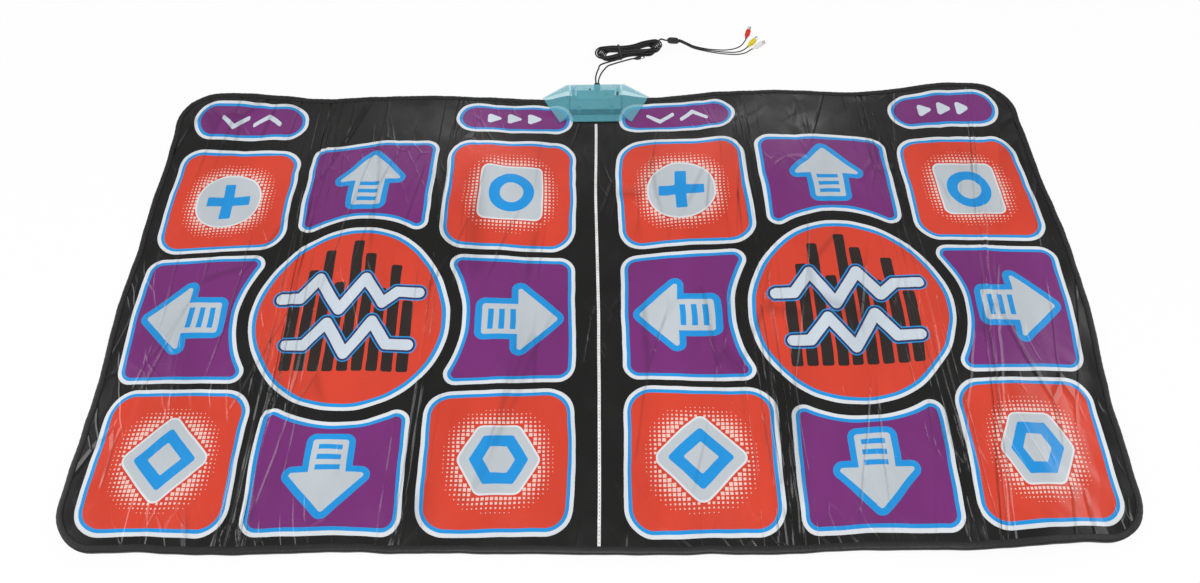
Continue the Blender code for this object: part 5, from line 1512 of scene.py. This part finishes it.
# Each lamp: place, width, depth and power
LAMPS = {
    "rear_panel": ((0.0, 3.6, 2.7), 6.0, 1.4, 7.0),
    "rear_softbox": ((0.2, 4.0, 2.6), 3.2, 0.6, 15.0),
    "left_softbox": ((-3.5, 0.4, 2.0), 2.2, 1.6, 36.0),
    "right_softbox": ((3.6, 0.6, 2.0), 2.2, 1.6, 31.0),
    "overhead": ((0.0, -1.1, 3.0), 2.0, 0.7, 52.0),
}


def make_studio():
    """Pale floor with a low backdrop round it, even sky and five soft lamps."""
    world = bpy.data.worlds.new("studio")
    bpy.context.scene.world = world
    world.use_nodes = True
    background = world.node_tree.nodes["Background"]
    background.inputs["Color"].default_value = (1.0, 1.0, 1.0, 1.0)
    background.inputs["Strength"].default_value = SKY_STRENGTH
    bpy.ops.object.select_all(action="DESELECT")
    bpy.ops.mesh.primitive_plane_add(size=FLOOR_SIZE, location=(0, 0, FLOOR_LEVEL))
    floor = bpy.context.object
    floor.name = "floor"
    paint = Finish("floor_paint", (0.94, 0.94, 0.94, 1.0), 0.6)
    paint.tone(paint.noise(3.0, 2.0), 0.3, 0.7, 0.01)
    glow = paint.nodes.new("ShaderNodeEmission")
    blend = paint.nodes.new("ShaderNodeMixShader")
    share = paint.math("MULTIPLY", looked_at(paint), FLOOR_GLOW)
    paint.links.new(share, blend.inputs["Fac"])
    paint.links.new(paint.shader.outputs["BSDF"], blend.inputs[1])
    paint.links.new(glow.outputs["Emission"], blend.inputs[2])
    paint.links.new(blend.outputs["Shader"], paint.nodes["Material Output"].inputs["Surface"])
    floor.data.materials.append(paint.material)
    bpy.ops.object.select_all(action="DESELECT")
    bpy.ops.mesh.primitive_cylinder_add(vertices=96, end_fill_type="NOTHING", **BACKDROP)
    backdrop = bpy.context.object
    backdrop.name = "backdrop"
    edit_whole(bpy.ops.mesh.flip_normals)
    backdrop.data.materials.append(paint.material)
    backdrop.select_set(False)
    for name, (place, width, depth, power) in LAMPS.items():
        lamp = linked(name, bpy.data.lights.new(name, "AREA"))
        lamp.data.shape = "RECTANGLE"
        lamp.data.size = width
        lamp.data.size_y = depth
        lamp.data.energy = power
        lamp.location = place
        lamp.rotation_euler = Vector(place).to_track_quat("Z", "Y").to_euler()
    bpy.context.scene.view_settings.view_transform = "Standard"


def main():
    place_camera()
    finishes = make_finishes()
    av_lead, av_exit, av_length = make_av_lead(finishes["lead"])
    tails = make_tails(finishes["lead"])
    dc_lead, dc_exit, dc_length = make_power_lead(finishes["lead"])
    splitter = make_splitter(finishes)
    plugs = make_plugs(finishes)
    dc_plug = make_power_plug(finishes)
    finish_nodes(finishes)
    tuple(av_exit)
    for colour, (tail, start, length) in tails.items():
        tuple(start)
        list(plugs[colour])
    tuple(dc_exit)
    make_foam(finishes)
    make_backing(finishes)
    pads = pad_list()
    cover, cover_area = make_cover(pads, finishes)
    prints = make_pads(pads, finishes)
    binding = make_binding(finishes)
    stitches = make_binding_stitches(finishes)
    tape, tape_stitches = make_centre_tape(finishes)
    make_switch(finishes)
    make_studio()


main()
